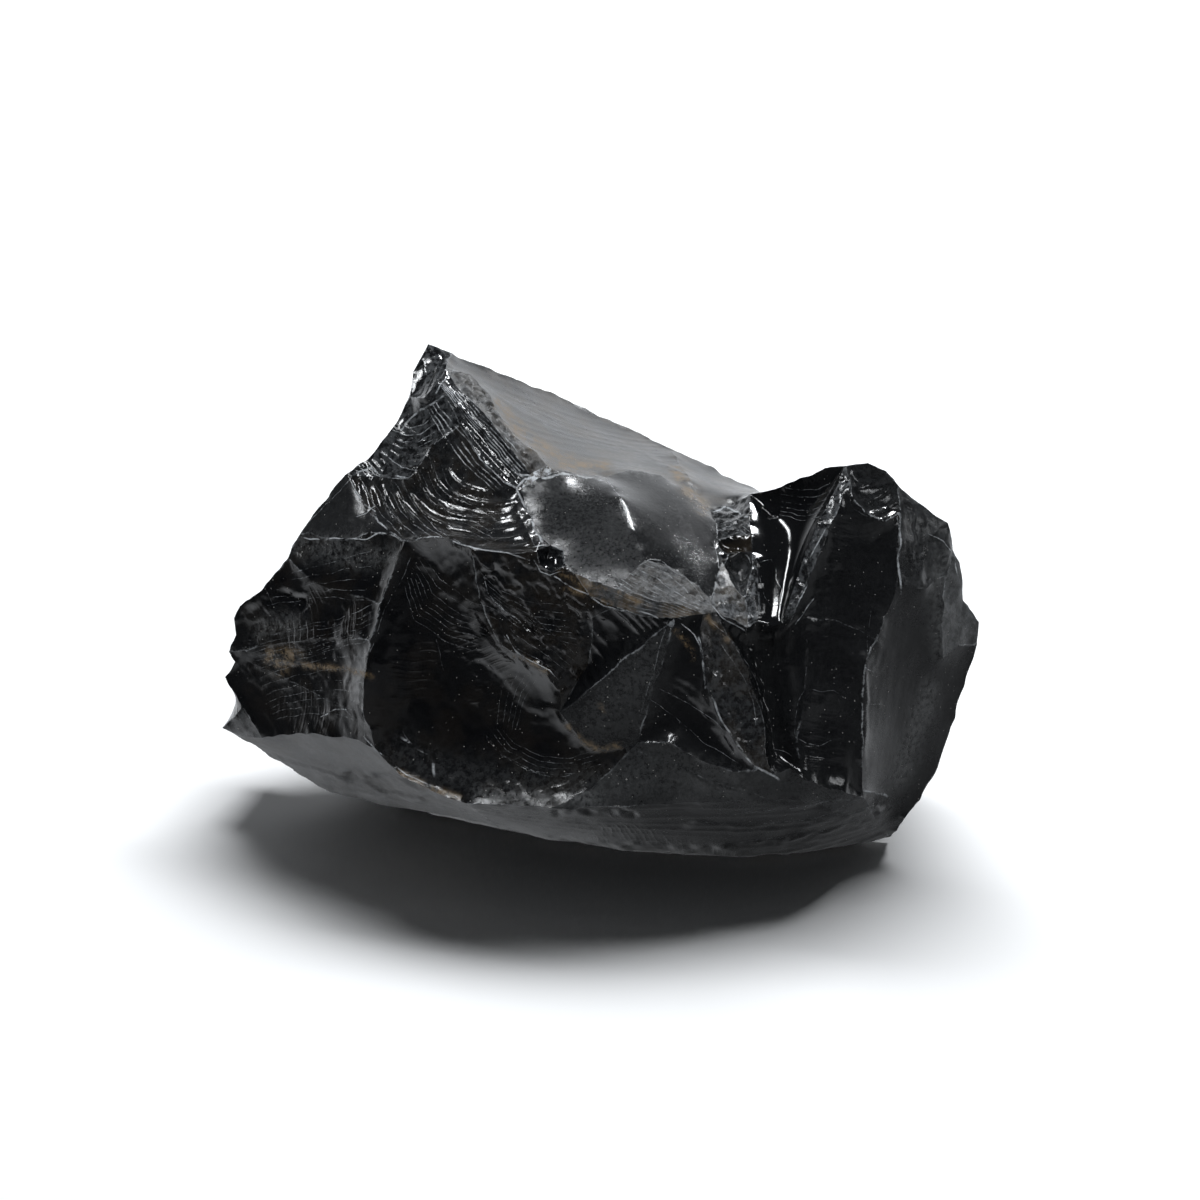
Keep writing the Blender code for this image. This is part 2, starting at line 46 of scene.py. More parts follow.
# first name: "across,up,back across,up,back ...", in millimetres
SIGHTED_BACK = {
    # the sharp top and the scar on its left side
    "apex": "-34.4,51.2,12",
    "tip1": "-29.6,49.4,15 -30.8,46.4,6 -32.6,43.4,0 -35.2,40.4,-1 -38,40.6,5 -37.4,45.6,9",
    # the far rim of the top face
    "rim1": "-8,40.6,34 8,33.4,36 14.4,30.2,30 31.8,21.8,22",
    # the broken crest between the top face and the flutes
    "crest1": "-26,45.2,8 -22,41,4 -19.4,36,-2 -15.6,31.4,-7 -10.6,26.8,-11",
    "lip1": "-14,25.2,-12 -18.4,30.8,-9 -23.2,37.4,-4 -29,43.2,2",
    # the flutes, down to the knot where five scars meet
    "knot": "-15.6,22.4,-14",
    "flute1": "-20.6,24.4,-13 -24.4,29,-9 -28,35,-5 -30.6,40,-2",
    # the left shoulder and the rippled scar
    "shoulder1": "-41.4,34.6,2 -46.4,28.2,1 -51,25,0 -56.4,18.4,-1",
    "ripple1": "-49,21.6,-4 -46.4,17.6,-8 -43,14.6,-15 -45,24.6,-3 -38,24.4,-9 -33.6,31,-6",
    # the brow, between the top of the chunk and its dark front
    "brow0": "-60,13.2,-2 -52,11.8,-10 -46,13.6,-13 -39,12,-20 -32,12.4,-24 -26,10.4,-27 -19,9.4,-30 -12.6,10,-30"
             " -5,5.2,-32 0,3.4,-34 3.6,2,-35 11,-0.2,-36 17,-1.2,-36 20.6,-2.8,-36 23.2,-2.4,-34",
    # the wedge and the pit beside the dome
    "wedge1": "-16.6,18.4,-18 -14.4,13.6,-25 -14.6,17.6,-18 -12,13,-24",
    "pit1": "-10,11,-26 -7.4,10,-27 -7,7,-30 -9.6,5.6,-32 -12,7,-32",
    # the dome
    "dome1": "-12.6,24.2,-13 -8.8,25.8,-11 -4,25.2,-8 1,24.6,-5 6,26,0 12,25,2 17.6,22,0 22,18,-3 23.2,15.6,-8"
             " 23.4,12,-14 24.4,7.6,-21 23.2,4,-26 22.4,0,-31 19.4,3,-29 14.4,6.4,-27 9,8,-29",
    "crease1": "4,20.6,-16 6.6,14,-24", "fold": "18,24,8",
    # the saddle between the dome and the lobe
    "saddle1": "27,19.2,2 30,21.2,-4 29.8,17.2,-10 30.4,13.2,-15 27,12.8,-14 30.4,9.6,-19 28,9.6,-19 29.8,4.4,-25"
               " 29,0.4,-28 27,2.4,-27 29.6,-5.6,-31 27,-4,-32",
    # the lobe's crest, the band of chips down its left edge, and the sill under its scar
    "lobe1": "35,22.2,-8 40,24.4,-12 45,26.4,-15 49,26.8,-17 53.6,27.4,-17 57.2,25.8,-17 59.6,23,-16",
    "band1": "47.6,23,-19 45.2,18.4,-22 42.6,13,-24 40.6,8,-26 39,3,-28 37.2,-2.4,-30 36.6,-4.8,-31",
    "edge1": "50,24,-19 48,19,-23 45.8,14.4,-25 44.6,10.4,-27 42.4,5.6,-28.5 41,1.6,-30 39.2,-2.4,-31",
    "sill1": "33.6,-5.2,-31 31.4,-4,-30 31.4,8,-21",
    "chip1": "50.6,20.4,-22 53.2,17.4,-23 57,15.8,-23 60.2,17.6,-19",
    # the corner between the front of the lobe and the right flank
    "corner1": "59.6,11,-23 59.4,5,-25 58.6,0,-27 56,-6.4,-30 53.2,-12.4,-33 52.4,-20,-34 52.4,-32,-36 52.8,-39.6,-35"
               " 55,-43.6,-26",
    # the right flank
    "flank1": "65,18.6,-15 69.6,15.4,-16 70.6,10,-16 69.4,5,-18 65,2,-23 61,3,-25 72.4,5,-15 72.6,0,-15 75.8,-4.4,-13"
              " 75.4,-9,-14 71.6,-9,-18 68.6,-11.6,-21 68.4,-4,-20 69,-29,-17 64,-40,-21 61,-43.6,-22",
    # the front: the gash of crushed glass, the rib beside it and the sump behind the rib
    "gash1": "20,-6,-37 20.6,-11,-39 21.6,-18.4,-41 24.4,-24.4,-42 27.6,-29.6,-43 32,-34,-43",
    "rib1": "24.4,-5,-35 27.6,-10,-37 30.4,-17,-39 33,-25,-41 33.2,-31,-42 34.4,-34.8,-43",
    "sump1": "40,-4,-31 41.2,-10,-33 40.6,-20,-36 39.4,-29,-38 38,-33.6,-41", "shelf1": "41,-36,-41 49,-38.4,-39",
    # the flat triangle, the nook above it and the hackly break on its left
    "tri1": "15,-3.6,-36 13,-11,-37 10.4,-19,-37 7.6,-28.4,-37 2.4,-29.8,-36 -2,-29.6,-35 -5,-26.4,-34 -8,-22.4,-33",
    "nook1": "-1.6,-3.6,-33 -2.4,-13,-31", "under1": "-2,0.8,-33 3,-1.4,-34 9,-3.4,-35",
    "hackle1": "-24,0,-27 -20,-9,-29 -12,-13,-33 -8,-18,-33",
    # the ridge on the left of the bowl, the step and the keel under the front
    "side1": "-41.4,5.6,-21 -44,-1,-22 -46,-8,-24 -47.2,-16,-26 -47.6,-23,-27",
    "step1": "14,-28.4,-40 20,-32,-42 27,-34.4,-43", "bowl1": "-2,-38,-38",
    "keel1": "-27,-40.6,-33 -10,-41.6,-38 8,-41,-41 28,-40,-42 40,-40,-41 50,-43,-33",
    # the left end, with its spur
    "left1": "-62.4,8.4,-4 -67.6,2,-2 -72,-1.2,1 -73.2,-3.6,2 -72.8,-7,2 -74.2,-10.4,3 -73,-12.4,2 -75,-15.4,4"
             " -71.6,-21.4,0",
    "spur1": "-75.6,-25.6,4 -72,-27.2,2 -69.6,-24.4,-2",
    "lower1": "-67.6,-27.6,-3 -60,-26.6,-10 -50,-27.6,-21 -45,-29.6,-27 -40,-35,-29 -34,-38,-31",
    "seam1": "-57,3.4,-10 -51,1.6,-14 -64,-8.6,-6 -54,-7.4,-14",
}

# first name: "across,up,height above the ground ...", in millimetres
SIGHTED_LOW = {
    "heel": "58,-47.4,1",
    "toe1": "52.4,-48.6,2 40,-50.6,2 28,-51.4,2 8,-50,2 -10,-48,2 -20,-45.6,2.5 -30,-43.2,3 -40,-41.6,3 -54,-38.4,4"
            " -60,-35,6 -67.6,-30,9",
}

# first name: "x,y,z ..." from the origin, in millimetres, for the foot and the far side
PLACED = {
    "foot1": "52,-17,0 30,-23,0 6,-21,0 -18,-12,0 -40,-1,0 -38,17,0 -8,30,0 33,27,0 53,4,0",
    "rear1": "-53,18,52 -34,29,69 -15,42,62 24,44,44 42,33,50 62,12,53 72,14,31 59,27,11 35,42,18 -4,47.5,13"
             " -45,36,34 -68,23,29 -71,17,14",
}

# name: (how far its middle stands out of its ridges, in millimetres, the corners round it)
# "rim1-3" stands for rim1 rim2 rim3, and "rim3-1" for the way back.
FACES = {
    "tip_scar": (-0.6, "apex tip1-6"),
    "top_face": (-2.0, "tip1 rim1-3 fold dome8-2 crest5-1 tip2"),
    "fold_face": (-0.5, "rim3-4 saddle2-1 dome8 fold"),
    "crest_break": (0.3, "tip2 crest1-5 lip1-4"),
    "knot_break": (0.2, "lip1 crest5 dome2-1 knot"),
    "flutes": (-1.0, "tip3-2 lip4-1 knot flute1-4"),
    "small_ripples": (-1.0, "tip5-3 flute4-3 ripple6-4 shoulder3-1"),
    "ripple_scar": (-2.5, "flute3-1 knot wedge1-2 brow7-3 ripple3-1 shoulder3 ripple4-6"),
    "left_plane": (0.3, "shoulder3 ripple1-3 brow3-0 shoulder4"),
    "wedge": (0.0, "knot wedge3-4 pit1 brow7 wedge2-1"),
    "dome_left": (1.0, "knot dome1-4 crease1-2 dome16 brow10-8 pit3-1 wedge4-3"),
    "dome_right": (0.8, "dome4-16 crease2-1"),
    "pit": (-2.0, "pit1-5 brow7"),
    "rough_patch": (0.3, "dome16-13 brow14-10"),
    "lip": (0.3, "brow8-13 tri1 under3-1"),
    "saddle_face": (-0.5, "dome8 saddle1-5 dome10-9"),
    "saddle_step": (-0.5, "dome10 saddle5-4 saddle6-7 dome11"),
    "saddle_pit": (-3.0, "dome11 saddle7-6 saddle8-10"),
    "saddle_wing": (-0.3, "dome11 saddle10-9 saddle11-12 brow14 dome13-12"),
    "saddle_rib": (0.3, "saddle6 sill3-2 saddle11 saddle9-8"),
    "lobe_scar": (-4.0, "saddle2 lobe1-4 band1-7 sill1-3 saddle6 saddle4-3"),
    "lobe_band": (-0.2, "lobe4 edge1-7 band7-1"),
    "lobe_chip": (-1.2, "lobe4-7 chip4-1 edge1"),
    "lobe_front": (-1.5, "edge1 chip1-4 corner1-8 shelf2-1 sump4-1 edge7-2"),
    "hollow": (-6.0, "band7 edge7 sump1-4 shelf1 sump5 rib6-1 brow14 saddle12-11 sill2-1"),
    "rib_face": (-0.5, "brow13-14 rib1-6 gash6-1"),
    "dark_face": (-2.0, "tri1 brow13 gash1-6 step3-1 tri4-2"),
    "toe_face": (0.5, "tri4 step1-3 gash6 rib6 sump5 shelf1-2 corner8-9 heel keel6-2 bowl1"),
    "triangle": (0.0, "tri1-8"),
    "nook": (-1.0, "under2-3 tri1 tri8 nook2-1"),
    "hackly": (0.5, "brow7 pit5-3 brow8 under1-2 nook1-2 tri8 hackle4-1 brow5-6"),
    "bowl": (-5.0, "brow3-5 hackle1-4 tri8-4 bowl1 keel2-1 lower6-4 side5-1"),
    "left_top": (-1.0, "brow0-3 side1-2 seam2-1 left1"),
    "left_mid": (-1.0, "left1 seam1-2 side2-3 seam4-3 left6-2"),
    "left_low": (-1.0, "left6 seam3-4 side3-5 lower4-1 spur3 left9-7"),
    "spur_face": (0.0, "spur1 left9 spur3 lower1 spur2"),
    "under_left": (-0.8, "spur2 lower1-6 keel1 toe6-11"),
    "under_front": (0.8, "keel1-6 heel toe1-6"),
    "flank_rough": (0.5, "lobe7 flank1-6 corner2-1 chip4"),
    "flank_face": (-0.8, "corner2 flank6-4 flank13-10 flank14-16 heel corner9-3"),
    "flank_knob": (0.0, "flank4-3 flank7-13"),
    # the underside and the face that the chunk rests on
    "rest_face": (0.0, "foot1 foot9-2"),
    "belly_right": (0.0, "heel foot1-3 toe4-1"),
    "belly_middle": (0.0, "toe4 foot3-5 toe8-5"),
    "belly_left": (0.0, "toe8 foot5-6 toe10-9"),
    # the far side
    "rear_shoulder": (-2.0, "apex tip6-5 shoulder1-3 rear1-2"),
    "rear_left_brow": (-1.0, "shoulder3-4 brow0 left1-2 rear1"),
    "rear_left": (-1.5, "left2-8 rear12 rear1"),
    "rear_spur": (-0.5, "left8-9 spur1 rear13-12"),
    "spur_under": (0.0, "spur1-2 toe11 rear13"),
    "rear_top": (-3.0, "apex rear2-3 rim1 tip1"),
    "rear_brow": (-1.0, "rim1 rear3-4 rim2"),
    "rear_notch": (-2.0, "rim2 rear4-5 rim4-3"),
    "lobe_rear": (-2.0, "rim4 rear5 lobe3-1 saddle2"),
    "lobe_rear_crest": (-2.0, "lobe3 rear5-6 lobe6-4"),
    "lobe_rear_flank": (0.5, "lobe6 rear6 flank8-7 flank3-1 lobe7"),
    "rear_knob": (-0.5, "flank8 rear6-7 flank10-9"),
    "rear_flank": (-1.5, "flank10 rear7-8 flank15-14"),
    "rear_heel": (-0.5, "flank15 rear8 foot9 foot1 heel flank16"),
    "rear_right_wall": (-3.0, "rear5 rear9-6"),
    "rear_wall": (-3.0, "rear3 rear10-9 rear5-4"),
    "rear_left_wall": (-3.0, "rear2 rear11-10 rear3"),
    "rear_end_wall": (-3.0, "rear1 rear12-11 rear2"),
    "rear_foot_right": (-1.0, "rear8-9 foot8-9"),
    "rear_foot": (-1.5, "rear9-10 foot7-8"),
    "rear_foot_left": (-1.0, "rear10-11 foot6-7"),
    "rear_foot_end": (-1.0, "rear11-13 toe11-10 foot6"),
}

# style: (kind of relief, its width, its height, stain, its share, its width), in millimetres
STYLES = {
    # The pale stain is crushed glass in part and painted highlight in part: the glint, blade, crumb, thread and hair
    # lines are mostly laid where blades, ripple crests and rims catch the light.
    "glint": ("ridge", 0.4, 0.1, "pale", 0.42, 0.13),
    "crumb": ("ridge", 0.6, 0.1, "pale", 0.45, 0.24),
    "faint": ("ridge", 0.4, 0.1, "pale", 0.12, 0.11),
    "blade": ("ridge", 0.4, 0.25, "pale", 0.36, 0.14),
    "rim": ("ledge", 0.5, 0.2, "pale", 0.42, 0.16),
    "crush": ("ledge", 0.8, 0.22, "pale", 0.35, 0.26),
    "step": ("ledge", 1.5, 0.45, "pale", 0.1, 0.11),
    "slit": ("groove", 0.5, 0.6, "none", 0.0, 0.0),
    "dent": ("groove", 1.2, 0.8, "none", 0.0, 0.0),
    "arcs": ("arcs", 0.75, 0.16, "none", 0.0, 0.0),
    "wide_arcs": ("arcs", 1.5, 0.25, "none", 0.0, 0.0),
    "vein": ("ridge", 0.5, 0.06, "ochre", 0.5, 0.5),
    "rust": ("ridge", 1.0, 0.0, "ochre", 0.5, 1.3),
    "dust": ("ridge", 1.0, 0.0, "dust", 0.3, 2.2),
    "haze": ("ridge", 1.0, 0.0, "dust", 0.12, 4.5),
    "film": ("ridge", 0.6, 0.0, "pale", 0.3, 0.35),
    "hair": ("ridge", 0.3, 0.0, "pale", 0.19, 0.09),
    "thread": ("ridge", 0.3, 0.05, "pale", 0.15, 0.09),
    "fibre": ("ridge", 0.3, 0.1, "pale", 0.24, 0.11),
}

# The lines of each style on the near faces, as they are sighted from the station, in tenths of a millimetre:
# "across,up across,up ...". A sheaf of lines is its first one, its last one and their number, as in "...|...|5".
LINES = {
    "glint": ("-484,168 -468,174 -452,188", "-130,76 -120,56 -100,48 -76,56 -56,60",
        "-136,104 -116,108 -96,110 -80,102", "-556,-232 -532,-220 -508,-220",
        "-232,44 -224,16 -208,-4 -192,-20 -168,-34 -144,-64",
        "-184,-72 -172,-96 -156,-112 -132,-128 -104,-140 -88,-154", "168,-48 192,-72 204,-100", "532,-136 548,-144",
        "540,-208 556,-208"),
    "crumb": ("-178,264 -164,252 -144,248", "-110,244 -76,252 -40,250 0,240", "232,176 252,184 272,176 292,168",
        "532,-384 552,-388 576,-392"),
    "faint": ("-704,-80 -640,-68 -576,-56 -510,-44 -456,-24", "-676,-108 -608,-112 -548,-100 -504,-80 -476,-60",
        "-696,-124 -640,-152 -580,-180 -520,-212 -476,-248", "-328,-80 -320,-104 -312,-136",
        "280,-424 340,-420 400,-412 460,-404 516,-400"),
    "blade": ("248,68 256,88 272,96 292,92 300,76", "448,140 436,112 424,88", "412,24 396,-8 384,-40",
        "428,0 412,-24 396,-44", "660,128 688,116 708,88 716,56",
        "-302,434 -260,396 -216,352 -180,312 -144,272|-318,428 -276,376 -236,328 -200,284 -172,256|6",
        "-328,396 -296,352 -260,312 -224,268 -192,236|-340,380 -308,328 -276,288 -240,248 -212,224|4",
        "-440,296 -416,280 -396,264 -372,260|-468,268 -440,256 -412,244 -380,244|2"),
    "rim": ("-296,456 -320,432 -332,408", "-480,256 -460,268 -440,252 -416,246 -380,242",
        "-500,240 -488,212 -468,188 -452,176 -444,158 -424,140 -396,122",
        "-606,126 -576,120 -540,122 -504,124 -472,122 -444,134",
        "-444,134 -416,132 -396,120 -376,120 -352,126 -328,126 -300,118", "-300,118 -260,108 -220,98 -184,92 -144,80",
        "-88,44 -60,28 -28,12 8,-12 44,-24 80,-24 112,-36", "-468,-276 -448,-300 -420,-324 -384,-348 -352,-364",
        "224,-12 244,-32 264,-48 288,-60"),
    "crush": ("-168,224 -156,200 -140,170 -132,140 -116,116", "200,-80 204,-112 208,-144 212,-180 228,-208",
        "-316,408 -336,392 -360,380 -384,360 -396,340", "-190,236 -168,224 -152,240 -132,244",
        "228,-208 244,-244 268,-280 292,-316 324,-344 356,-356", "592,160 600,120 596,80 600,20"),
    "step": ("-668,16 -656,-12 -636,-28 -600,-32 -576,-12", "-496,-64 -528,-80 -564,-90 -620,-92 -676,-90 -712,-94",
        "504,244 496,212 504,184 528,168 560,160 584,172", "424,-40 472,-44 524,-60 556,-80",
        "544,-20 536,-80 532,-160 532,-240 532,-320", "412,-80 412,-136 408,-184 396,-200 392,-240 392,-276",
        "80,-304 140,-328 200,-352 280,-380 352,-400", "-80,-472 40,-484 160,-488 280,-484 400,-468",
        "200,-444 300,-448 400,-440 500,-424 560,-412", "360,-472 440,-460 512,-440 568,-416",
        "-664,-304 -600,-328 -520,-352 -440,-380 -360,-396"),
    "slit": ("-696,-92 -640,-88 -580,-84 -528,-82", "-380,-192 -388,-224 -384,-256 -372,-280 -352,-298",
        "176,-204 196,-224 216,-244", "100,-276 136,-288 168,-304 204,-324", "232,-212 244,-240 256,-260",
        "324,184 340,168 356,172", "-88,-426 -40,-422 12,-422 68,-426"),
    "dent": ("-632,8 -616,0 -596,-4", "236,112 264,106 296,110", "-496,-354 -440,-360 -380,-370 -320,-380 -288,-392"),
    "arcs": ("-352,96 -348,40 -324,-8 -296,-48 -260,-80", "-308,80 -288,32 -252,-4 -208,-40",
        "-392,40 -404,-24 -408,-100 -404,-180", "364,228 400,220 436,220 472,228"),
    "wide_arcs": ("-236,-256 -216,-296 -176,-328 -120,-348 -60,-348 -16,-328", "412,-80 460,-92 512,-100"),
    "vein": ("-80,56 -50,40 -20,24 20,20 60,4 100,-12", "-68,20 -40,16 -8,0 24,-8",
        "-672,-120 -600,-128 -540,-136 -496,-140 -460,-152", "-400,-344 -360,-364 -320,-384 -284,-396",
        "-172,-116 -148,-120 -128,-132 -108,-144", "-64,-252 -40,-280 -16,-292 12,-296 40,-292", "0,-212 8,-218",
        "216,-36 236,-56 256,-80", "152,-64 176,-88 188,-112"),
    "rust": ("-656,-108 -636,-112 -612,-110", "-648,-128 -640,-136", "-160,336 -128,312 -96,296 -64,284",
        "-88,276 -40,268 12,268", "152,260 180,220 208,184", "-200,392 -188,370 -160,340"),
    "dust": ("-600,110 -540,106 -480,110", "-676,-56 -640,-48 -608,-52", "-580,110 -500,80 -420,90",
        "688,88 682,40 678,-8 680,-60 684,-100", "660,-180 632,-260 596,-360", "-240,-384 -160,-398 -80,-402 0,-398",
        "-160,364 -60,320 40,284 120,260", "-80,296 0,276 80,268"),
    "haze": ("-400,-304 -300,-350 -160,-372 0,-368 160,-356 280,-372", "0,-232 60,-180 100,-100",
        "-200,404 -80,352 40,304"),
    "film": ("-334,-328 -334,-344", "-392,-276 -380,-284"),
    "hair": ("-496,244 -520,220 -550,194 -576,160", "-392,-264 -382,-280 -368,-296 -352,-304",
        "-224,-280 -200,-310 -164,-334 -116,-350 -68,-352 -20,-336",
        "224,-44 248,-64 272,-92 296,-128 312,-164 324,-212 332,-260 328,-304 324,-332",
        "228,120 236,88 240,56 232,24 220,-4", "304,68 308,32 304,0 296,-32 292,-60",
        "328,76 344,80 352,64 352,44 364,24 360,0", "320,40 328,8 344,-12 360,-8",
        "392,-276 412,-288 436,-292 456,-284", "352,-300 368,-304 380,-312", "136,-44 120,-100 100,-168 80,-232",
        "128,-180 180,-208 232,-244 288,-312", "104,-200 160,-244 212,-284 272,-324",
        "244,-92 268,-124 288,-160 304,-200 312,-252",
        "-380,80 -408,24 -432,-24 -452,-88 -468,-128 -476,-180 -472,-232 -468,-276",
        "412,-180 440,-184 464,-180 484,-192", "372,224 400,218 430,220 456,230|366,168 396,160 424,160 452,170|6",
        "232,172 256,184 280,176 300,160|232,140 256,152 280,144 300,132|4"),
    "thread": ("-184,-144 -198,-180 -204,-216 -206,-248|-132,-160 -146,-188 -158,-220 -166,-252|5",
        "-224,-276 -190,-316 -130,-344 -50,-348 -4,-328|-200,-256 -170,-290 -120,-314 -60,-320 -20,-304|4",
        "-320,276 -304,232 -268,192 -216,168|-368,252 -344,200 -296,152 -220,120|5",
        "-240,56 -200,20 -150,0 -80,-8|-200,-24 -160,-56 -110,-80 -50,-90|7",
        "-190,-72 -160,-100 -120,-124 -88,-144|-140,-24 -104,-60 -70,-90 -40,-120|5",
        "-352,92 -320,40 -260,0 -200,-24|-392,20 -370,-44 -320,-80 -260,-100|8",
        "-456,-12 -520,-36 -600,-56 -700,-80|-456,-80 -520,-100 -600,-120 -680,-136|7",
        "-476,-112 -540,-116 -620,-132 -676,-152|-476,-248 -540,-232 -600,-232 -640,-244|7",
        "-460,96 -520,80 -580,68 -620,52|-468,0 -540,8 -600,0 -660,-8|5",
        "-264,440 -120,384 0,336 120,276|-200,404 -80,328 40,288 180,252|6"),
    "fibre": ("80,68 100,80 124,76 144,56 168,44 192,20 208,-4",
        "-404,352 -380,344 -352,352 -328,372|-424,320 -396,308 -364,308 -336,324|4",
        "-476,236 -460,200 -436,168 -400,132|-392,224 -368,180 -328,140 -268,108|5",
        "90,70 130,50 170,20 206,-8|0,8 40,-8 90,-22 160,-36|9"),
}

SEED = 7
RIDGE_WAVER = 0.05         # how far a ridge strays from straight, as a share of one run of the solid's ridge
SOLID_RUN = 3.0            # one run of the solid's ridge
JITTER = 0.2               # how far the points in a face stray from an even grid, as a share of the grain
CLEAR_OF_RIDGE = 0.55      # how far the points in a face stay from its ridges, as a share of the grain
FINE, PLAIN, COARSE = 0.42, 0.62, 1.2      # grains: the usual size of a triangle
WEAR_WIDTH = 0.3           # how far the wear of a ridge reaches to each side
RIDGE_FADE = 0.5           # how near a ridge the relief dies away
LINE_REACH = 1.0           # how far to the side a thin line is looked for
STAINS = ("ochre", "dust")                 # the drawn stains that are soft, not thin lines
EDGE_CHIPS = ((4.5, 0.28), (1.6, 0.16))    # size and depth of the chips along every ridge

# ridges that are rounded, not sharp
SOFT_RIDGES = (("dome4", "crease1"), ("crease1", "crease2"), ("crease2", "dome16"))

# name: (across, up, back) of the places that scars spread from and that stains lie round
MARKS = {
    "ripple_strike": (-20, 31, -8), "small_strike": (-35, 44, 0), "bowl_strike": (-35, 13, -22),
    "arc_strike": (-17, -19, -36), "left_strike": (-76, -9, 12), "left_upper": (-70, 6, 2),
    "dark_strike": (8, -14, -38), "lobe_strike": (42, 34, -10), "chip_strike": (52, 31, -17),
    "flute_top": (-33, 44, 0), "flute_foot": (-15, 22, -14), "dome_strike": (-14, 22, -14),
    "keel_left": (-70, -30, 5), "keel_right": (-10, -44, -34), "front_left": (-40, -44, -30),
    "front_right": (60, -46, -30), "flank_top": (66, 16, -12), "flank_foot": (59, -44, -24), "lip_left": (-6, 4, -32),
    "lip_right": (22, -3, -36), "hackle_from": (-26, 10, -27), "hackle_to": (-6, -18, -34),
    "hollow_top": (36, -3, -30), "hollow_foot": (38, -33, -38), "lobe_top": (52, 22, -19),
    "lobe_foot": (48, -36, -37), "crest_top": (-31, 47, 6), "crest_foot": (-10, 26, -11), "top_far": (8, 33.4, 36),
    "saddle_top": (26, 20, 0), "saddle_foot": (30, 0, -26),
}

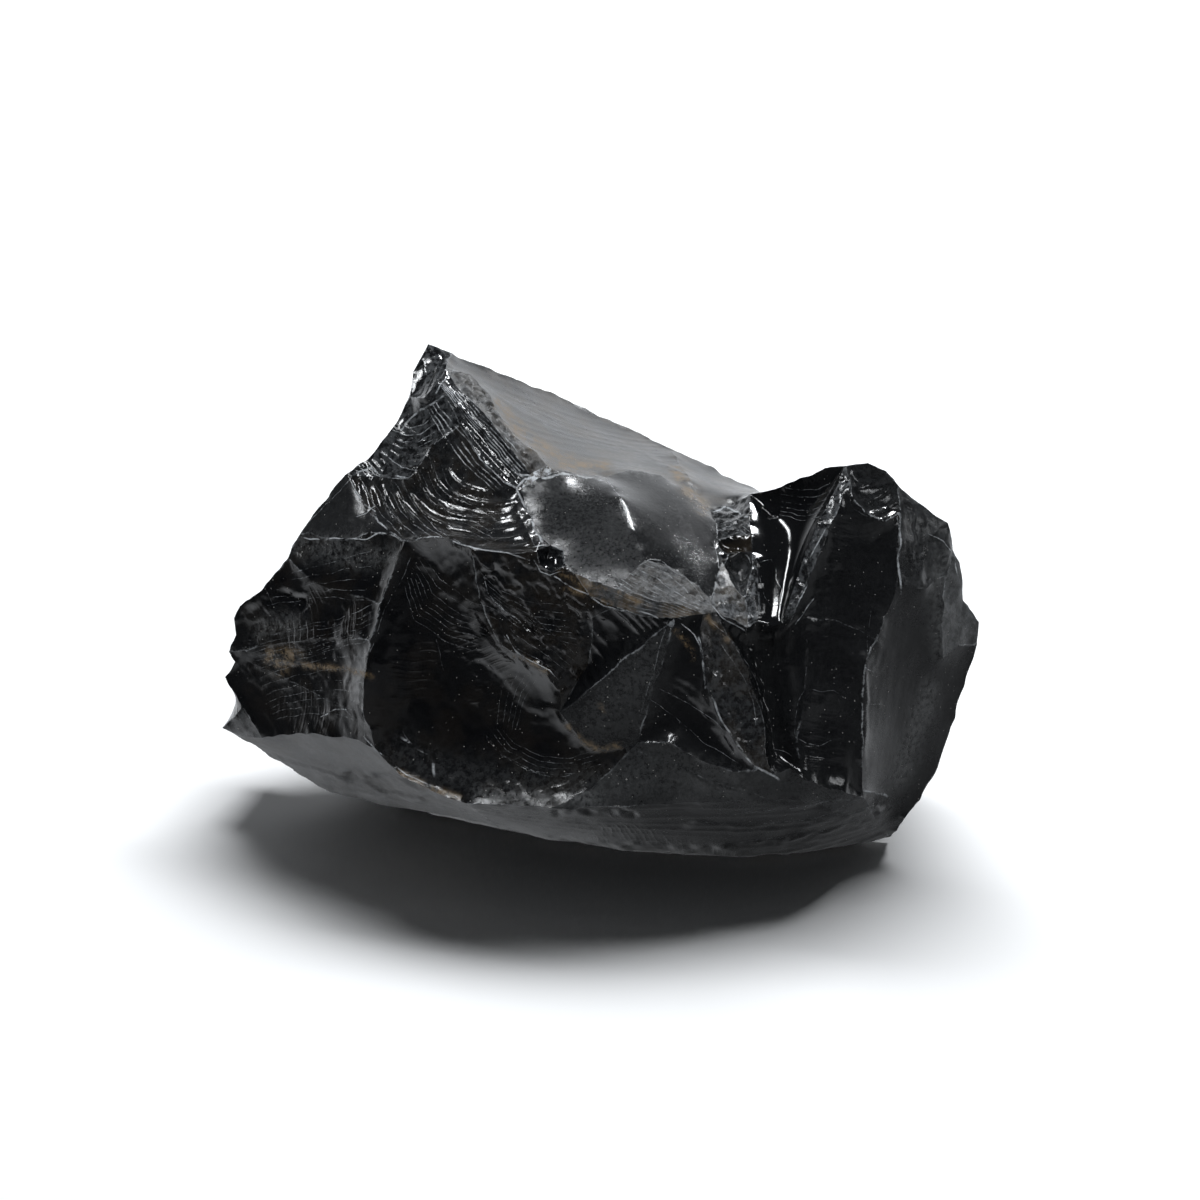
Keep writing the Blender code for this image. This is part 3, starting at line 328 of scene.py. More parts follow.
# name: (grain, roughness, dust, ochre, pale, the relief: "kind marks size height | kind ...")
# The four shares after the grain run from 0 to 1. Sizes and heights are in millimetres. The hair-fine rings are
# drawn in the material: their mark is the place they spread from, and their number is how strongly they show.
LOOKS = {
    "tip_scar": (FINE, 0.06, 0.05, 0, 0.1, "waves 7 0.25"
                " | flutes crest_top flute_top 2.6 0.35 | rings small_strike 0.1"),
    "top_face": (PLAIN, 0.22, 0.3, 0.05, 0, "waves 26 0.3 | flutes crest_top top_far 3 0.1"),
    "fold_face": (PLAIN, 0.25, 0.3, 0.05, 0, "waves 14 0.3"),
    "crest_break": (FINE, 0.42, 0.03, 0.04, 0.1, "hackles crest_top crest_foot 0.9 0.7"),
    "knot_break": (FINE, 0.4, 0.3, 0.1, 1, "hackles crest_top crest_foot 1.6 0.5"),
    "flutes": (FINE, 0.09, 0.06, 0, 0.05, "flutes flute_top flute_foot 1.9 0.55"
              " | flutes flute_top flute_foot 0.9 0.12"),
    "small_ripples": (FINE, 0.08, 0.05, 0, 0.08, "ripples small_strike 1.3 0.5"
                     " | waves 5 0.5 | rings small_strike 0.15"),
    "ripple_scar": (FINE, 0.08, 0.06, 0.02, 0.02, "ripples ripple_strike 2.7 0.85 7"
                   " | waves 7 0.2 | rings ripple_strike 0.3"),
    "left_plane": (FINE, 0.22, 0.1, 0, 0, "waves 5 0.2 | waves 1.6 0.07 | rings small_strike 0.08"),
    "wedge": (FINE, 0.25, 0, 0, 0.02, "hackles dome_strike hackle_from 1.6 0.6"),
    "dome_left": (PLAIN, 0.14, 0.24, 0, 0, "waves 15 0.2"),
    "dome_right": (PLAIN, 0.14, 0.15, 0, 0, "waves 15 0.2"),
    "pit": (FINE, 0.05, 0, 0, 0.02, "hackles dome_strike hackle_from 1.5 0.4"),
    "rough_patch": (FINE, 0.5, 0.02, 0.03, 0.12, "hackles lip_left lip_right 1 0.45"),
    "lip": (FINE, 0.45, 0.09, 0.25, 0.1, "hackles lip_left lip_right 1.7 0.8 | rings lip_left 0.1"),
    "saddle_face": (FINE, 0.18, 0.06, 0, 0.1, "hackles saddle_top lobe_top 1.6 0.6"),
    "saddle_step": (FINE, 0.12, 0, 0.03, 0, "hackles saddle_top lobe_top 2 0.3"),
    "saddle_pit": (FINE, 0.16, 0.16, 0, 0.05, "hackles saddle_top saddle_foot 2 0.5"),
    "saddle_wing": (FINE, 0.26, 0.14, 0.08, 0.22, "hackles saddle_top saddle_foot 2.2 0.5"),
    "saddle_rib": (FINE, 0.08, 0.08, 0, 0.2, "flutes saddle_top saddle_foot 1.6 0.5"),
    "lobe_scar": (FINE, 0.08, 0.02, 0, 0, "waves 9 0.2"),
    "lobe_band": (FINE, 0.1, 0.08, 0, 0.12, "hackles lobe_top hollow_top 2 0.9"),
    "lobe_chip": (FINE, 0.1, 0.1, 0, 0.02, "ripples chip_strike 2.6 0.45 | waves 4 0.4 | rings chip_strike 0.2"),
    "lobe_front": (PLAIN, 0.14, 0.07, 0, 0, "waves 11 0.6 | flutes lobe_top lobe_foot 5.5 0.3"
                  " | hackles lobe_top lobe_foot 3.4 0.26 | rings chip_strike 0.2"),
    "hollow": (PLAIN, 0.12, 0.06, 0, 0, "flutes hollow_top hollow_foot 4 0.9"
              " | hackles hollow_top hollow_foot 2.4 0.5 | rings lobe_strike 0.2"),
    "rib_face": (FINE, 0.2, 0.06, 0.02, 0.04, "hackles hollow_top hollow_foot 2.2 0.6 | rings dark_strike 0.15"),
    "dark_face": (PLAIN, 0.16, 0.03, 0, 0, "fan dark_strike 10 0.4 | waves 8 0.4 | rings dark_strike 0.2"),
    "toe_face": (PLAIN, 0.24, 0.18, 0, 0, "waves 9 0.3 | waves 2.2 0.05 | rings arc_strike 0.08"),
    "triangle": (PLAIN, 0.22, 0.14, 0, 0, "waves 12 0.12 | rings arc_strike 0.04"),
    "nook": (FINE, 0.09, 0, 0, 0, "flutes lip_left dark_strike 2.2 0.5 | waves 5 0.5 | rings arc_strike 0.25"),
    "hackly": (FINE, 0.12, 0.01, 0.02, 0.01, "hackles hackle_from hackle_to 2.2 1"
              " | waves 9 0.5 | rings bowl_strike 0.12"),
    "bowl": (PLAIN, 0.13, 0.005, 0.01, 0, "ripples arc_strike 3.6 0.16 | waves 12 0.35"
            " | hackles hackle_from hackle_to 2.6 0.25 | rings bowl_strike 0.3"),
    "left_top": (PLAIN, 0.14, 0, 0.01, 0, "hackles left_upper bowl_strike 2.4 0.4 | rings left_upper 0.2"),
    "left_mid": (PLAIN, 0.14, 0, 0.01, 0, "hackles left_strike bowl_strike 2.6 0.35"
                " | waves 9 0.3 | rings left_strike 0.25"),
    "left_low": (PLAIN, 0.18, 0, 0.01, 0, "waves 9 0.3"
                " | hackles left_strike bowl_strike 2 0.2 | rings left_strike 0.15"),
    "spur_face": (FINE, 0.2, 0.06, 0, 0.05, "waves 3 0.2"),
    # under_left's high dust share is partly dust and partly painted reflection: it lightens the face as the lit floor
    # it faces would in the glass
    "under_left": (PLAIN, 0.3, 0.48, 0.03, 0.05, "flutes keel_left keel_right 7 0.3 | waves 14 0.4"),
    "under_front": (PLAIN, 0.26, 0.03, 0, 0, "flutes front_left front_right 3.6 0.2"
                   " | waves 12 0.3 | rings keel_left 0.1"),
    "flank_rough": (PLAIN, 0.26, 0.12, 0, 0.03, "hackles flank_top flank_foot 3 0.8 | rings flank_top 0.1"),
    "flank_face": (PLAIN, 0.26, 0.06, 0, 0, "flutes flank_top flank_foot 2.2 0.03"
                  " | waves 14 0.3 | rings flank_top 0.05"),
    "flank_knob": (PLAIN, 0.3, 0.35, 0, 0.05, "waves 5 0.4"),
}
FAR_LOOK = (COARSE, 0.16, 0.1, 0.03, 0, "waves 16 0.9 | far_ripples 5 0.45 | rings bowl_strike 0.25")
REST_LOOK = (2.5, 0.35, 0.3, 0.05, 0, "rings bowl_strike 0.25")


def sight_line(across, up):
    """Return the station, and the way from it to a sighted place."""
    upward = np.array((0.0, math.sin(STATION_ELEVATION), math.cos(STATION_ELEVATION)))
    backward = np.array((0.0, math.cos(STATION_ELEVATION), -math.sin(STATION_ELEVATION)))
    station = MIDDLE - STATION_DISTANCE * backward
    return station, MIDDLE + across * np.array((1.0, 0.0, 0.0)) + up * upward - station


def behind(across, up, back):
    """Return the place that is sighted there, so far behind the chunk's middle."""
    station, way = sight_line(across, up)
    return station + way * (MIDDLE[1] + back - station[1]) / way[1]


def listed(table):
    """Give the name and the numbers of each corner in a table."""
    for first, text in table.items():
        family = first.rstrip(digits)
        for i, place in enumerate(text.split()):
            name = family + str(int(first[len(family):]) + i) if i else first
            yield name, np.array([float(part) for part in place.split(",")])


def corner_points():
    """Return the place of every corner."""
    points = dict(listed(PLACED))
    for name, place in listed(SIGHTED_BACK):
        points[name] = behind(*place)
    for name, (across, up, height) in listed(SIGHTED_LOW):
        station, way = sight_line(across, up)
        points[name] = station + way * (height - station[2]) / way[2]
    return points


def ridges_round(text):
    """Return the two ends of each ridge round a face."""
    names = []
    for part in text.split():
        first, _, last = part.partition("-")
        names.append(first)
        if last:
            family = first.rstrip(digits)
            start, end = int(first[len(family):]), int(last)
            way = 1 if end > start else -1
            names += [family + str(i) for i in range(start + way, end + way, way)]
    return list(zip(names, names[1:] + names[:1]))


MARK = {name: behind(*place) for name, place in MARKS.items()}


def scatter(cell, seed):
    """Return one number from -1 to 1 for each cell of a grid, different for each seed."""
    mixed = cell[:, 0] * 73856093 ^ cell[:, 1] * 19349663 ^ cell[:, 2] * 83492791 ^ seed * 668265263
    mixed = (mixed ^ (mixed >> 13)) * 1274126177 & 0x7FFFFFFF
    mixed = (mixed ^ (mixed >> 11)) * 974634777 & 0x7FFFFFFF
    mixed = mixed ^ (mixed >> 15)
    return mixed / 0x3FFFFFFF - 1.0


def lattice(points, size, seed):
    """Return smooth noise from -1 to 1 at each point, with lumps of about a size."""
    place = points / size + 0.37 * seed
    base = np.floor(place).astype(np.int64)
    part = place - base
    part = part ** 3 * (part * (part * 6.0 - 15.0) + 10.0)
    total = np.zeros(len(points))
    for corner in np.ndindex(2, 2, 2):
        share = np.prod(np.where(corner, part, 1.0 - part), axis=1)
        total += share * scatter(base + corner, seed)
    return total


def clouds(points, size, seed, layers=3):
    """Return noise with finer noise added to it."""
    total = sum(lattice(points, size / 2 ** i, seed + i) / 2 ** i for i in range(layers))
    return total / (2.0 - 0.5 ** (layers - 1))


def shifts(points, size, *seeds):
    """Return one smooth noise for each seed, side by side."""
    return np.stack([lattice(points, size, seed) for seed in seeds], axis=1)


def waves(points, size, height):
    """Return soft swells."""
    return height * clouds(points, size, round(size) + 3)


def smooth(values, low, high):
    """Return 0 below one value, 1 above another, and a soft rise between them."""
    share = np.clip((values - low) / (high - low), 0.0, 1.0)
    return share * share * (3.0 - 2.0 * share)


def crest(phase):
    """Return one ripple for each whole step of phase: a low trough, and a narrow crest from 0 to 1."""
    return (1.0 - np.abs(np.sin(math.pi * phase))) ** 2


def ripples(points, strike, size, height, quiet=0.0):
    """Return ripples that ring the place that a flake was struck at. They start beyond the quiet middle."""
    away = points - MARK[strike]
    reach = np.linalg.norm(away, axis=1)
    phase = reach / size + 0.5 * lattice(points, 18.0, 5) + 0.04 * lattice(points, 3.0, 6)
    strength = np.clip(0.7 + 0.7 * lattice(points, 14.0, 8), 0.15, 1.3)
    return height * strength * smooth(reach, quiet, quiet + 3.0 * size) * crest(phase)


def fan(points, strike, lines, height):
    """Return fine ridges that spread from a strike like the ribs of a fan."""
    away = points - MARK[strike]
    reach = np.linalg.norm(away, axis=1)
    way = away / reach[:, None]
    ridges = crest(lines * 0.5 * (way[:, 0] * 0.3 + way[:, 2]) + 0.8 * lattice(points, 9.0, 12))
    fine = crest(lines * 1.7 * way[:, 2] + 0.7 * lattice(points, 5.0, 13))
    return height * np.clip(reach / 12.0, 0.0, 1.0) * (ridges + 0.4 * fine) * (0.6 + 0.6 * lattice(points, 8.0, 14))


def heading(start, end):
    """Return the way from one mark to another, of length 1."""
    way = MARK[end] - MARK[start]
    return way / np.linalg.norm(way)


def flutes(points, out, start, end, size, height):
    """Return long straight blades that run one way."""
    way = heading(start, end)
    side = np.cross(out, way)
    side /= np.linalg.norm(side)
    along = points @ way
    drawn = points - 0.85 * along[:, None] * way
    phase = (points @ side) / size + 0.9 * lattice(drawn, size * 2.2, 24)
    strength = np.clip(0.6 + 0.8 * lattice(drawn, size * 1.7, 25), 0.05, 1.4)
    return height * strength * crest(phase)


def shards(points, size, seed):
    """Return small flat facets that meet at sharp steps: each cell of a loose grid is one tilted facet."""
    place = points / size
    base = np.floor(place).astype(np.int64)
    nearest = np.full(len(points), np.inf)
    height = np.zeros(len(points))
    for offset in np.ndindex(3, 3, 3):
        cell = base + offset - 1
        throw = [scatter(cell, seed + i) for i in range(7)]
        arm = place - cell - 0.5 - 0.42 * np.stack(throw[:3], axis=1)
        reach = (arm ** 2).sum(axis=1)
        level = 0.35 * throw[3] + (arm * np.stack(throw[4:], axis=1)).sum(axis=1)
        closer = reach < nearest
        nearest = np.where(closer, reach, nearest)
        height = np.where(closer, level, height)
    return height


def hackles(points, start, end, size, height):
    """Return a torn surface: small facets and splinters that trend one way."""
    way = heading(start, end)
    away = points - MARK[start]
    along = (away @ way)[:, None]
    drawn = away - along * way + along * way * 0.45
    warped = drawn + 0.35 * size * shifts(points, size, 31, 32, 33)
    broad = shards(warped, size * 1.5, 50)
    small = shards(warped, size * 0.6, 60)
    return height * (0.8 * broad + 0.3 * small + 0.3 * clouds(warped, size * 2.0, 36))


def sighted(points):
    """Return how far across and up each point is seen from the station."""
    station, axis = sight_line(0.0, 0.0)
    axis = axis / STATION_DISTANCE
    upward = np.array((0.0, math.sin(STATION_ELEVATION), math.cos(STATION_ELEVATION)))
    away = points - station
    scale = STATION_DISTANCE / (away @ axis)
    return np.stack((away[:, 0] * scale, away @ upward * scale), axis=1)


def beside(places, path):
    """Return how far each place is to the side of a path, more than nothing on its right, and how far from it."""
    nearest = np.full(len(places), np.inf)
    side = np.zeros(len(places))
    for start, end in zip(path, path[1:]):
        run = end - start
        arm = places - start
        share = np.clip(arm @ run / (run @ run), 0.0, 1.0)
        reach = np.linalg.norm(arm - share[:, None] * run, axis=1)
        turn = (arm[:, 0] * run[1] - arm[:, 1] * run[0]) / np.linalg.norm(run)
        closer = reach < nearest
        nearest = np.where(closer, reach, nearest)
        side = np.where(closer, turn, side)
    return side, nearest


def drawn_lines():
    """Give every drawn line's style and its points, in millimetres."""
    for style, texts in LINES.items():
        for text in texts:
            *sides, count = text.split("|") if "|" in text else (text, 1)
            ends = [np.array([[int(part) / 10 for part in place.split(",")] for place in side.split()])
                    for side in sides]
            for i in range(int(count)):
                share = (i + 0.3 * math.sin(7.0 * i)) / max(int(count) - 1, 1)
                yield STYLES[style], ends[0] + share * (ends[-1] - ends[0])


def strayed(points):
    """Return where each point is sighted, with a little stray, so that the drawn lines aren't even."""
    return sighted(points) + 0.35 * shifts(points, 4.0, 71, 72) + 0.12 * shifts(points, 1.3, 73, 74)


def near_path(places, path, reach):
    """Return which places lie in the box round a path."""
    low, high = path.min(axis=0) - reach, path.max(axis=0) + reach
    return ((places > low) & (places < high)).all(axis=1)


def line_relief(points):
    """Return the relief of the drawn lines at points on the near faces."""
    places = strayed(points)
    total = np.zeros(len(points))
    for (kind, width, height, _, _, _), path in drawn_lines():
        picked = near_path(places, path, width * 4.0)
        if height == 0.0 or not picked.any():
            continue
        height = height * np.clip(0.75 + 0.7 * lattice(points[picked], 2.2, 76), 0.1, 1.3)
        side, reach = beside(places[picked], path)
        gap = reach * np.sign(side)
        near = np.exp(-(gap / width) ** 2)
        if kind == "ridge":
            total[picked] += height * near
        elif kind == "groove":
            total[picked] -= height * near
        elif kind == "ledge":
            total[picked] += height * smooth(gap, -0.25, 0.25) * np.exp(-np.maximum(gap, 0.0) / width)
        elif kind == "arcs":
            fade = np.exp(-(gap / (3.2 * width)) ** 2)
            total[picked] += height * fade * crest(gap / width + 0.3 * lattice(points[picked], 5.0, 75))
    return total


def line_stains(points):
    """Return how much ochre and dust the drawn lines leave at each point."""
    places = strayed(points)
    total = {stain: np.zeros(len(points)) for stain in STAINS}
    for (_, _, _, stain, share, width), path in drawn_lines():
        if stain in STAINS:
            picked = near_path(places, path, width * 3.0)
            near = np.exp(-(beside(places[picked], path)[1] / width) ** 2)
            total[stain][picked] = np.maximum(total[stain][picked], share * near)
    return total


def line_marks(points, triangles):
    """Return the thin pale line nearest to each triangle, as it is met at each of the triangle's corners. The pale
    lines are crushed glass in part and painted highlights in part.

    It is how far to the side the line runs, how strong it is there, and how wide.
    """
    corners = strayed(points)[triangles]
    middle = corners.mean(axis=1)
    nearest = np.full(len(middle), LINE_REACH)
    marks = np.zeros((len(middle), 3, 3))
    marks[..., 2] = 1.0
    for (_, _, _, stain, share, width), path in drawn_lines():
        if stain != "pale":
            continue
        picked = np.flatnonzero(near_path(middle, path, LINE_REACH))
        reach = beside(middle[picked], path)[1]
        closer = reach < nearest[picked]
        picked = picked[closer]
        nearest[picked] = reach[closer]
        side, reach = beside(corners[picked].reshape(-1, 2), path)
        beyond = np.sqrt(np.maximum(reach ** 2 - side ** 2, 0.0))
        strength = share * np.clip(1.0 - beyond / LINE_REACH, 0.0, 1.0)
        marks[picked] = np.stack((side, strength, np.full(len(side), width)), axis=1).reshape(-1, 3, 3)
    return marks


def far_ripples(points, middle, size, height):
    """Return the ripples of a far face, whose strike is guessed."""
    strike = middle + np.array((0.0, 18.0, 30.0))
    reach = np.linalg.norm(points - strike, axis=1)
    strength = np.clip(0.5 + 0.8 * lattice(points, 14.0, 8), 0.0, 1.3)
    return height * strength * crest(reach / size + 0.5 * lattice(points, 9.0, 6))


RELIEFS = {"waves": waves, "ripples": ripples, "fan": fan, "flutes": flutes, "hackles": hackles,
           "far_ripples": far_ripples}


def recipe(look):
    """Give the kind and the facts of each relief in a look."""
    for part in look[5].split(" | "):
        kind, *facts = part.split()
        yield kind, [fact if fact in MARKS else float(fact) for fact in facts]


def relief(points, look, middle, out):
    """Return the whole relief of a face at its points."""
    faced = {"flutes": (out,), "far_ripples": (middle,)}
    total = np.zeros(len(points))
    for kind, facts in recipe(look):
        if kind in RELIEFS:
            total += RELIEFS[kind](points, *faced.get(kind, ()), *facts)
    return total


def ridge_points(start, end, grain, random):
    """Return the points along a ridge, without its ends. It strays a little from straight, and is chipped."""
    length = np.linalg.norm(end - start)
    coarse = max(1, round(length / SOLID_RUN))
    bends = np.zeros((coarse + 1, 3))
    bends[1:-1] = random.normal(0.0, RIDGE_WAVER * length / coarse, (coarse - 1, 3))
    runs = max(1, round(length / grain))
    shares = np.arange(1, runs) / runs
    stray = np.stack([np.interp(shares * coarse, np.arange(coarse + 1), bends[:, i]) for i in range(3)], axis=1)
    points = start + (end - start) * shares[:, None]
    for size, depth in EDGE_CHIPS:
        fade = np.clip(np.minimum(shares, 1.0 - shares) * length / size, 0.0, 1.0)[:, None]
        stray = stray + depth * fade * shifts(points, size, 41, 42, 43)
    if start[2] == end[2]:
        stray[:, 2] = 0.0
    return points + stray


def face_axes(outline):
    """Return two axes across a face and the one out of it. The outline runs clockwise, seen from outside."""
    after = np.roll(outline, -1, axis=0)
    out = -np.cross(outline, after).sum(axis=0)
    out /= np.linalg.norm(out)
    across = np.cross((0.0, 0.0, 1.0) if abs(out[2]) < 0.9 else (0.0, 1.0, 0.0), out)
    across /= np.linalg.norm(across)
    return across, np.cross(out, across), out


def spread(inside, outline):
    """Return each outline point's weight at each inside point, and how far from the outline each one is.

    The weights are mean value weights: they carry the outline's heights smoothly over the face.
    """
    arm = outline[None] - inside[:, None]
    reach = np.linalg.norm(arm, axis=2)
    after = np.roll(arm, -1, axis=1)
    turn = arm[..., 0] * after[..., 1] - arm[..., 1] * after[..., 0]
    half = turn / (reach * np.roll(reach, -1, axis=1) + (arm * after).sum(axis=2))
    weight = (half + np.roll(half, 1, axis=1)) / reach
    total = weight.sum(axis=1)
    return weight / total[:, None], 1.0 / np.abs(total), reach.min(axis=1)


def inner_grid(outline, grain, random):
    """Return points in an uneven triangular grid inside a flat outline, clear of its edge."""
    low, high = outline.min(axis=0), outline.max(axis=0)
    rows = np.arange(low[1], high[1], grain * math.sqrt(0.75))
    columns = np.arange(low[0] - grain, high[0], grain)
    grid = np.array([(x + grain / 2 * (i % 2), y) for i, y in enumerate(rows) for x in columns])
    grid += random.uniform(-JITTER * grain, JITTER * grain, grid.shape)
    inside = np.zeros(len(grid), dtype=bool)
    clear = np.full(len(grid), np.inf)
    for start, end in zip(outline, np.roll(outline, -1, axis=0)):
        if start[1] != end[1]:
            crosses = (start[1] > grid[:, 1]) != (end[1] > grid[:, 1])
            x = start[0] + (end[0] - start[0]) * (grid[:, 1] - start[1]) / (end[1] - start[1])
            inside ^= crosses & (grid[:, 0] < x)
        run = end - start
        share = np.clip((grid - start) @ run / (run @ run), 0.0, 1.0)
        clear = np.minimum(clear, np.linalg.norm(grid - start - share[:, None] * run, axis=1))
    return grid[inside & (clear > CLEAR_OF_RIDGE * grain)]


def skin(outline, bulge, look, near, random):
    """Return the points inside one face, and its triangles over the outline's points and then those."""
    across, along, out = face_axes(outline)
    middle = outline.mean(axis=0)
    flat = (outline - middle) @ np.stack((across, along), axis=1)
    height = (outline - middle) @ out
    grid = inner_grid(flat, look[0], random)
    points = np.zeros((0, 3))
    clear = np.zeros(0)
    if len(grid):
        weight, depth, clear = spread(grid, flat)
        lift = weight @ height + bulge * depth / depth.max()
        points = middle + grid @ np.stack((across, along)) + lift[:, None] * out
        fade = 1.0 - np.exp(-clear / RIDGE_FADE)
        height = relief(points, look, middle, out)
        if near:
            height += line_relief(points)
        points += (fade * height)[:, None] * out
    places = [Vector(place) for place in np.vstack((flat, grid))]
    loop = list(range(len(flat)))[::-1]
    _, _, triangles, origins, _, _ = delaunay_2d_cdt(places, [], [loop], 1, 1e-5)
    return points, [[origins[corner][0] for corner in triangle] for triangle in triangles], clear


def look_of(name):
    """Return a face's look. The far faces share one."""
    return LOOKS.get(name, REST_LOOK if name == "rest_face" else FAR_LOOK)


def ridge_grains():
    """Return each ridge's grain: the finer of its two faces'."""
    grains = {}
    for name, (_, text) in FACES.items():
        grain = look_of(name)[0]
        for ridge in ridges_round(text):
            key = frozenset(ridge)
            grains[key] = min(grain, grains.get(key, grain))
    return grains


def chunk_mesh():
    """Return the mesh of the whole chunk: every face's skin, joined along the ridges."""
    random = np.random.default_rng(SEED)
    corners = corner_points()
    grains = ridge_grains()
    points = list(corners.values())
    number = {name: i for i, name in enumerate(corners)}
    ridges = {}
    triangles, finish, rings, lined = [], [], [], []
    wear = [0.0] * len(points)
    seen = set()
    for name, (bulge, text) in FACES.items():
        look = look_of(name)
        near = name in LOOKS
        loop = []
        for start, end in ridges_round(text):
            if (end, start) in ridges:
                between = ridges[end, start][::-1]
            else:
                run = ridge_points(corners[start], corners[end], grains[frozenset((start, end))], random)
                between = list(range(len(points), len(points) + len(run)))
                points.extend(run)
                wear += [1.0] * len(run)
                ridges[start, end] = between
            loop += [number[start]] + between
        inner, local, clear = skin(np.array([points[i] for i in loop]), bulge, look, near, random)
        loop += range(len(points), len(points) + len(inner))
        points.extend(inner)
        wear += np.exp(-clear / WEAR_WIDTH).tolist()
        if near:
            seen.update(loop)
        triangles += [[loop[corner] for corner in triangle] for triangle in local]
        finish += [look[1:5]] * len(local)
        lined += [near] * len(local)
        strike, share = dict(recipe(look)).get("rings", ("bowl_strike", 0.0))
        rings += [(*MARK[strike] * MM, share)] * len(local)
    mesh = bpy.data.meshes.new("chunk")
    mesh.from_pydata([Vector(point) * MM for point in points], [], triangles)
    mesh.update()
    mark_ridges(mesh, number, ridges)
    lined = np.array(lined)
    lines = np.zeros((len(triangles), 3, 3))
    lines[..., 2] = 1.0
    lines[lined] = line_marks(np.array(points), np.array(triangles)[lined])
    paint(mesh, np.array(finish), np.array(rings), lines)
    stain(mesh, np.array(points), np.array(wear), np.array(sorted(seen)))
    return mesh


def mark_ridges(mesh, number, ridges):
    """Shade the faces smooth and the ridges between them sharp."""
    pairs = set()
    for (start, end), between in ridges.items():
        if (start, end) in SOFT_RIDGES or (end, start) in SOFT_RIDGES:
            continue
        chain = [number[start]] + between + [number[end]]
        pairs.update(frozenset(pair) for pair in zip(chain, chain[1:]))
    mesh.shade_smooth()
    ends = np.zeros(len(mesh.edges) * 2, dtype=np.int32)
    mesh.edges.foreach_get("vertices", ends)
    sharp = mesh.attributes.new("sharp_edge", 'BOOLEAN', 'EDGE')
    sharp.data.foreach_set("value", [frozenset(pair) in pairs for pair in ends.reshape(-1, 2).tolist()])


def keep(mesh, name, kind, domain, values):
    """Store values on the mesh for its material to read."""
    made = mesh.color_attributes if kind == 'FLOAT_COLOR' else mesh.attributes
    field = {'FLOAT_COLOR': "color", 'FLOAT_VECTOR': "vector", 'FLOAT': "value"}[kind]
    made.new(name, kind, domain).data.foreach_set(field, values.astype(np.float32).ravel())


def paint(mesh, finish, rings, lines):
    """Store the roughness, dust, ochre, pale crushed glass, fine rings and thin pale lines of each face's triangles;
    the thin lines are partly painted highlights.
    """
    keep(mesh, "finish", 'FLOAT_COLOR', 'CORNER', np.repeat(finish, 3, axis=0))
    keep(mesh, "strike", 'FLOAT_VECTOR', 'FACE', rings[:, :3])
    keep(mesh, "rings", 'FLOAT', 'FACE', rings[:, 3])
    keep(mesh, "lines", 'FLOAT_VECTOR', 'CORNER', lines)


def stain(mesh, points, wear, seen):
    """Store the drawn lines' stains and the wear of the ridges at each point of the mesh."""
    shares = np.zeros((len(points), 4))
    stains = line_stains(points[seen])
    for i, name in enumerate(STAINS):
        shares[seen, i] = stains[name]
    shares[seen, 3] = wear[seen]
    keep(mesh, "stain", 'FLOAT_COLOR', 'POINT', shares)


def node(tree, kind, inputs=(), **facts):
    """Return a new node with its inputs set or linked."""
    made = tree.nodes.new(kind)
    for key, value in facts.items():
        setattr(made, key, value)
    for key, value in dict(inputs).items():
        if isinstance(value, bpy.types.NodeSocket):
            tree.links.new(value, made.inputs[key])
        else:
            made.inputs[key].default_value = value
    return made


def mixed(tree, share, first, second):
    """Return a colour between two."""
    blend = node(tree, "ShaderNodeMix", {0: share, 6: first, 7: second}, data_type='RGBA')
    return blend.outputs[2]


def formula(tree, operation, first, second=0.0, clamp=False):
    """Return what a sum makes of two values."""
    return node(tree, "ShaderNodeMath", {0: first, 1: second}, operation=operation, use_clamp=clamp).outputs[0]


def sums(tree):
    """Return what the materials reckon with: a smooth ramp between two values, a product and a sum."""
    def ramp(value, low, high, start=0.0, end=1.0):
        return node(tree, "ShaderNodeMapRange", {"Value": value, "From Min": low, "From Max": high,
                    "To Min": start, "To Max": end}, interpolation_type='SMOOTHSTEP').outputs[0]

    def times(first, second, clamp=False):
        return formula(tree, 'MULTIPLY', first, second, clamp)

    def plus(first, second, clamp=False):
        return formula(tree, 'ADD', first, second, clamp)

    return ramp, times, plus


GLASS = (0.003, 0.0033, 0.004, 1.0)
DUST = (0.165, 0.17, 0.172, 1.0)
RUST = (0.36, 0.25, 0.13, 1.0)
# pale crushed glass, which the drawn pale lines also use to paint highlights
CRUSHED_AND_HIGHLIGHT = (0.60, 0.63, 0.66, 1.0)
SPECK = (0.42, 0.41, 0.385, 1.0)
SPECKS = ((1100.0, 0.972, 0.17), (700.0, 0.982, 0.11), (2300.0, 0.95, 0.24))     # how many a metre, how rare, size
GLASS_IOR = 1.5
# the heights of the carved lines, the torn glass, the soft unevenness and the grit, in metres
BUMPS = (0.0005, 0.0003, 0.0002, 0.00015)


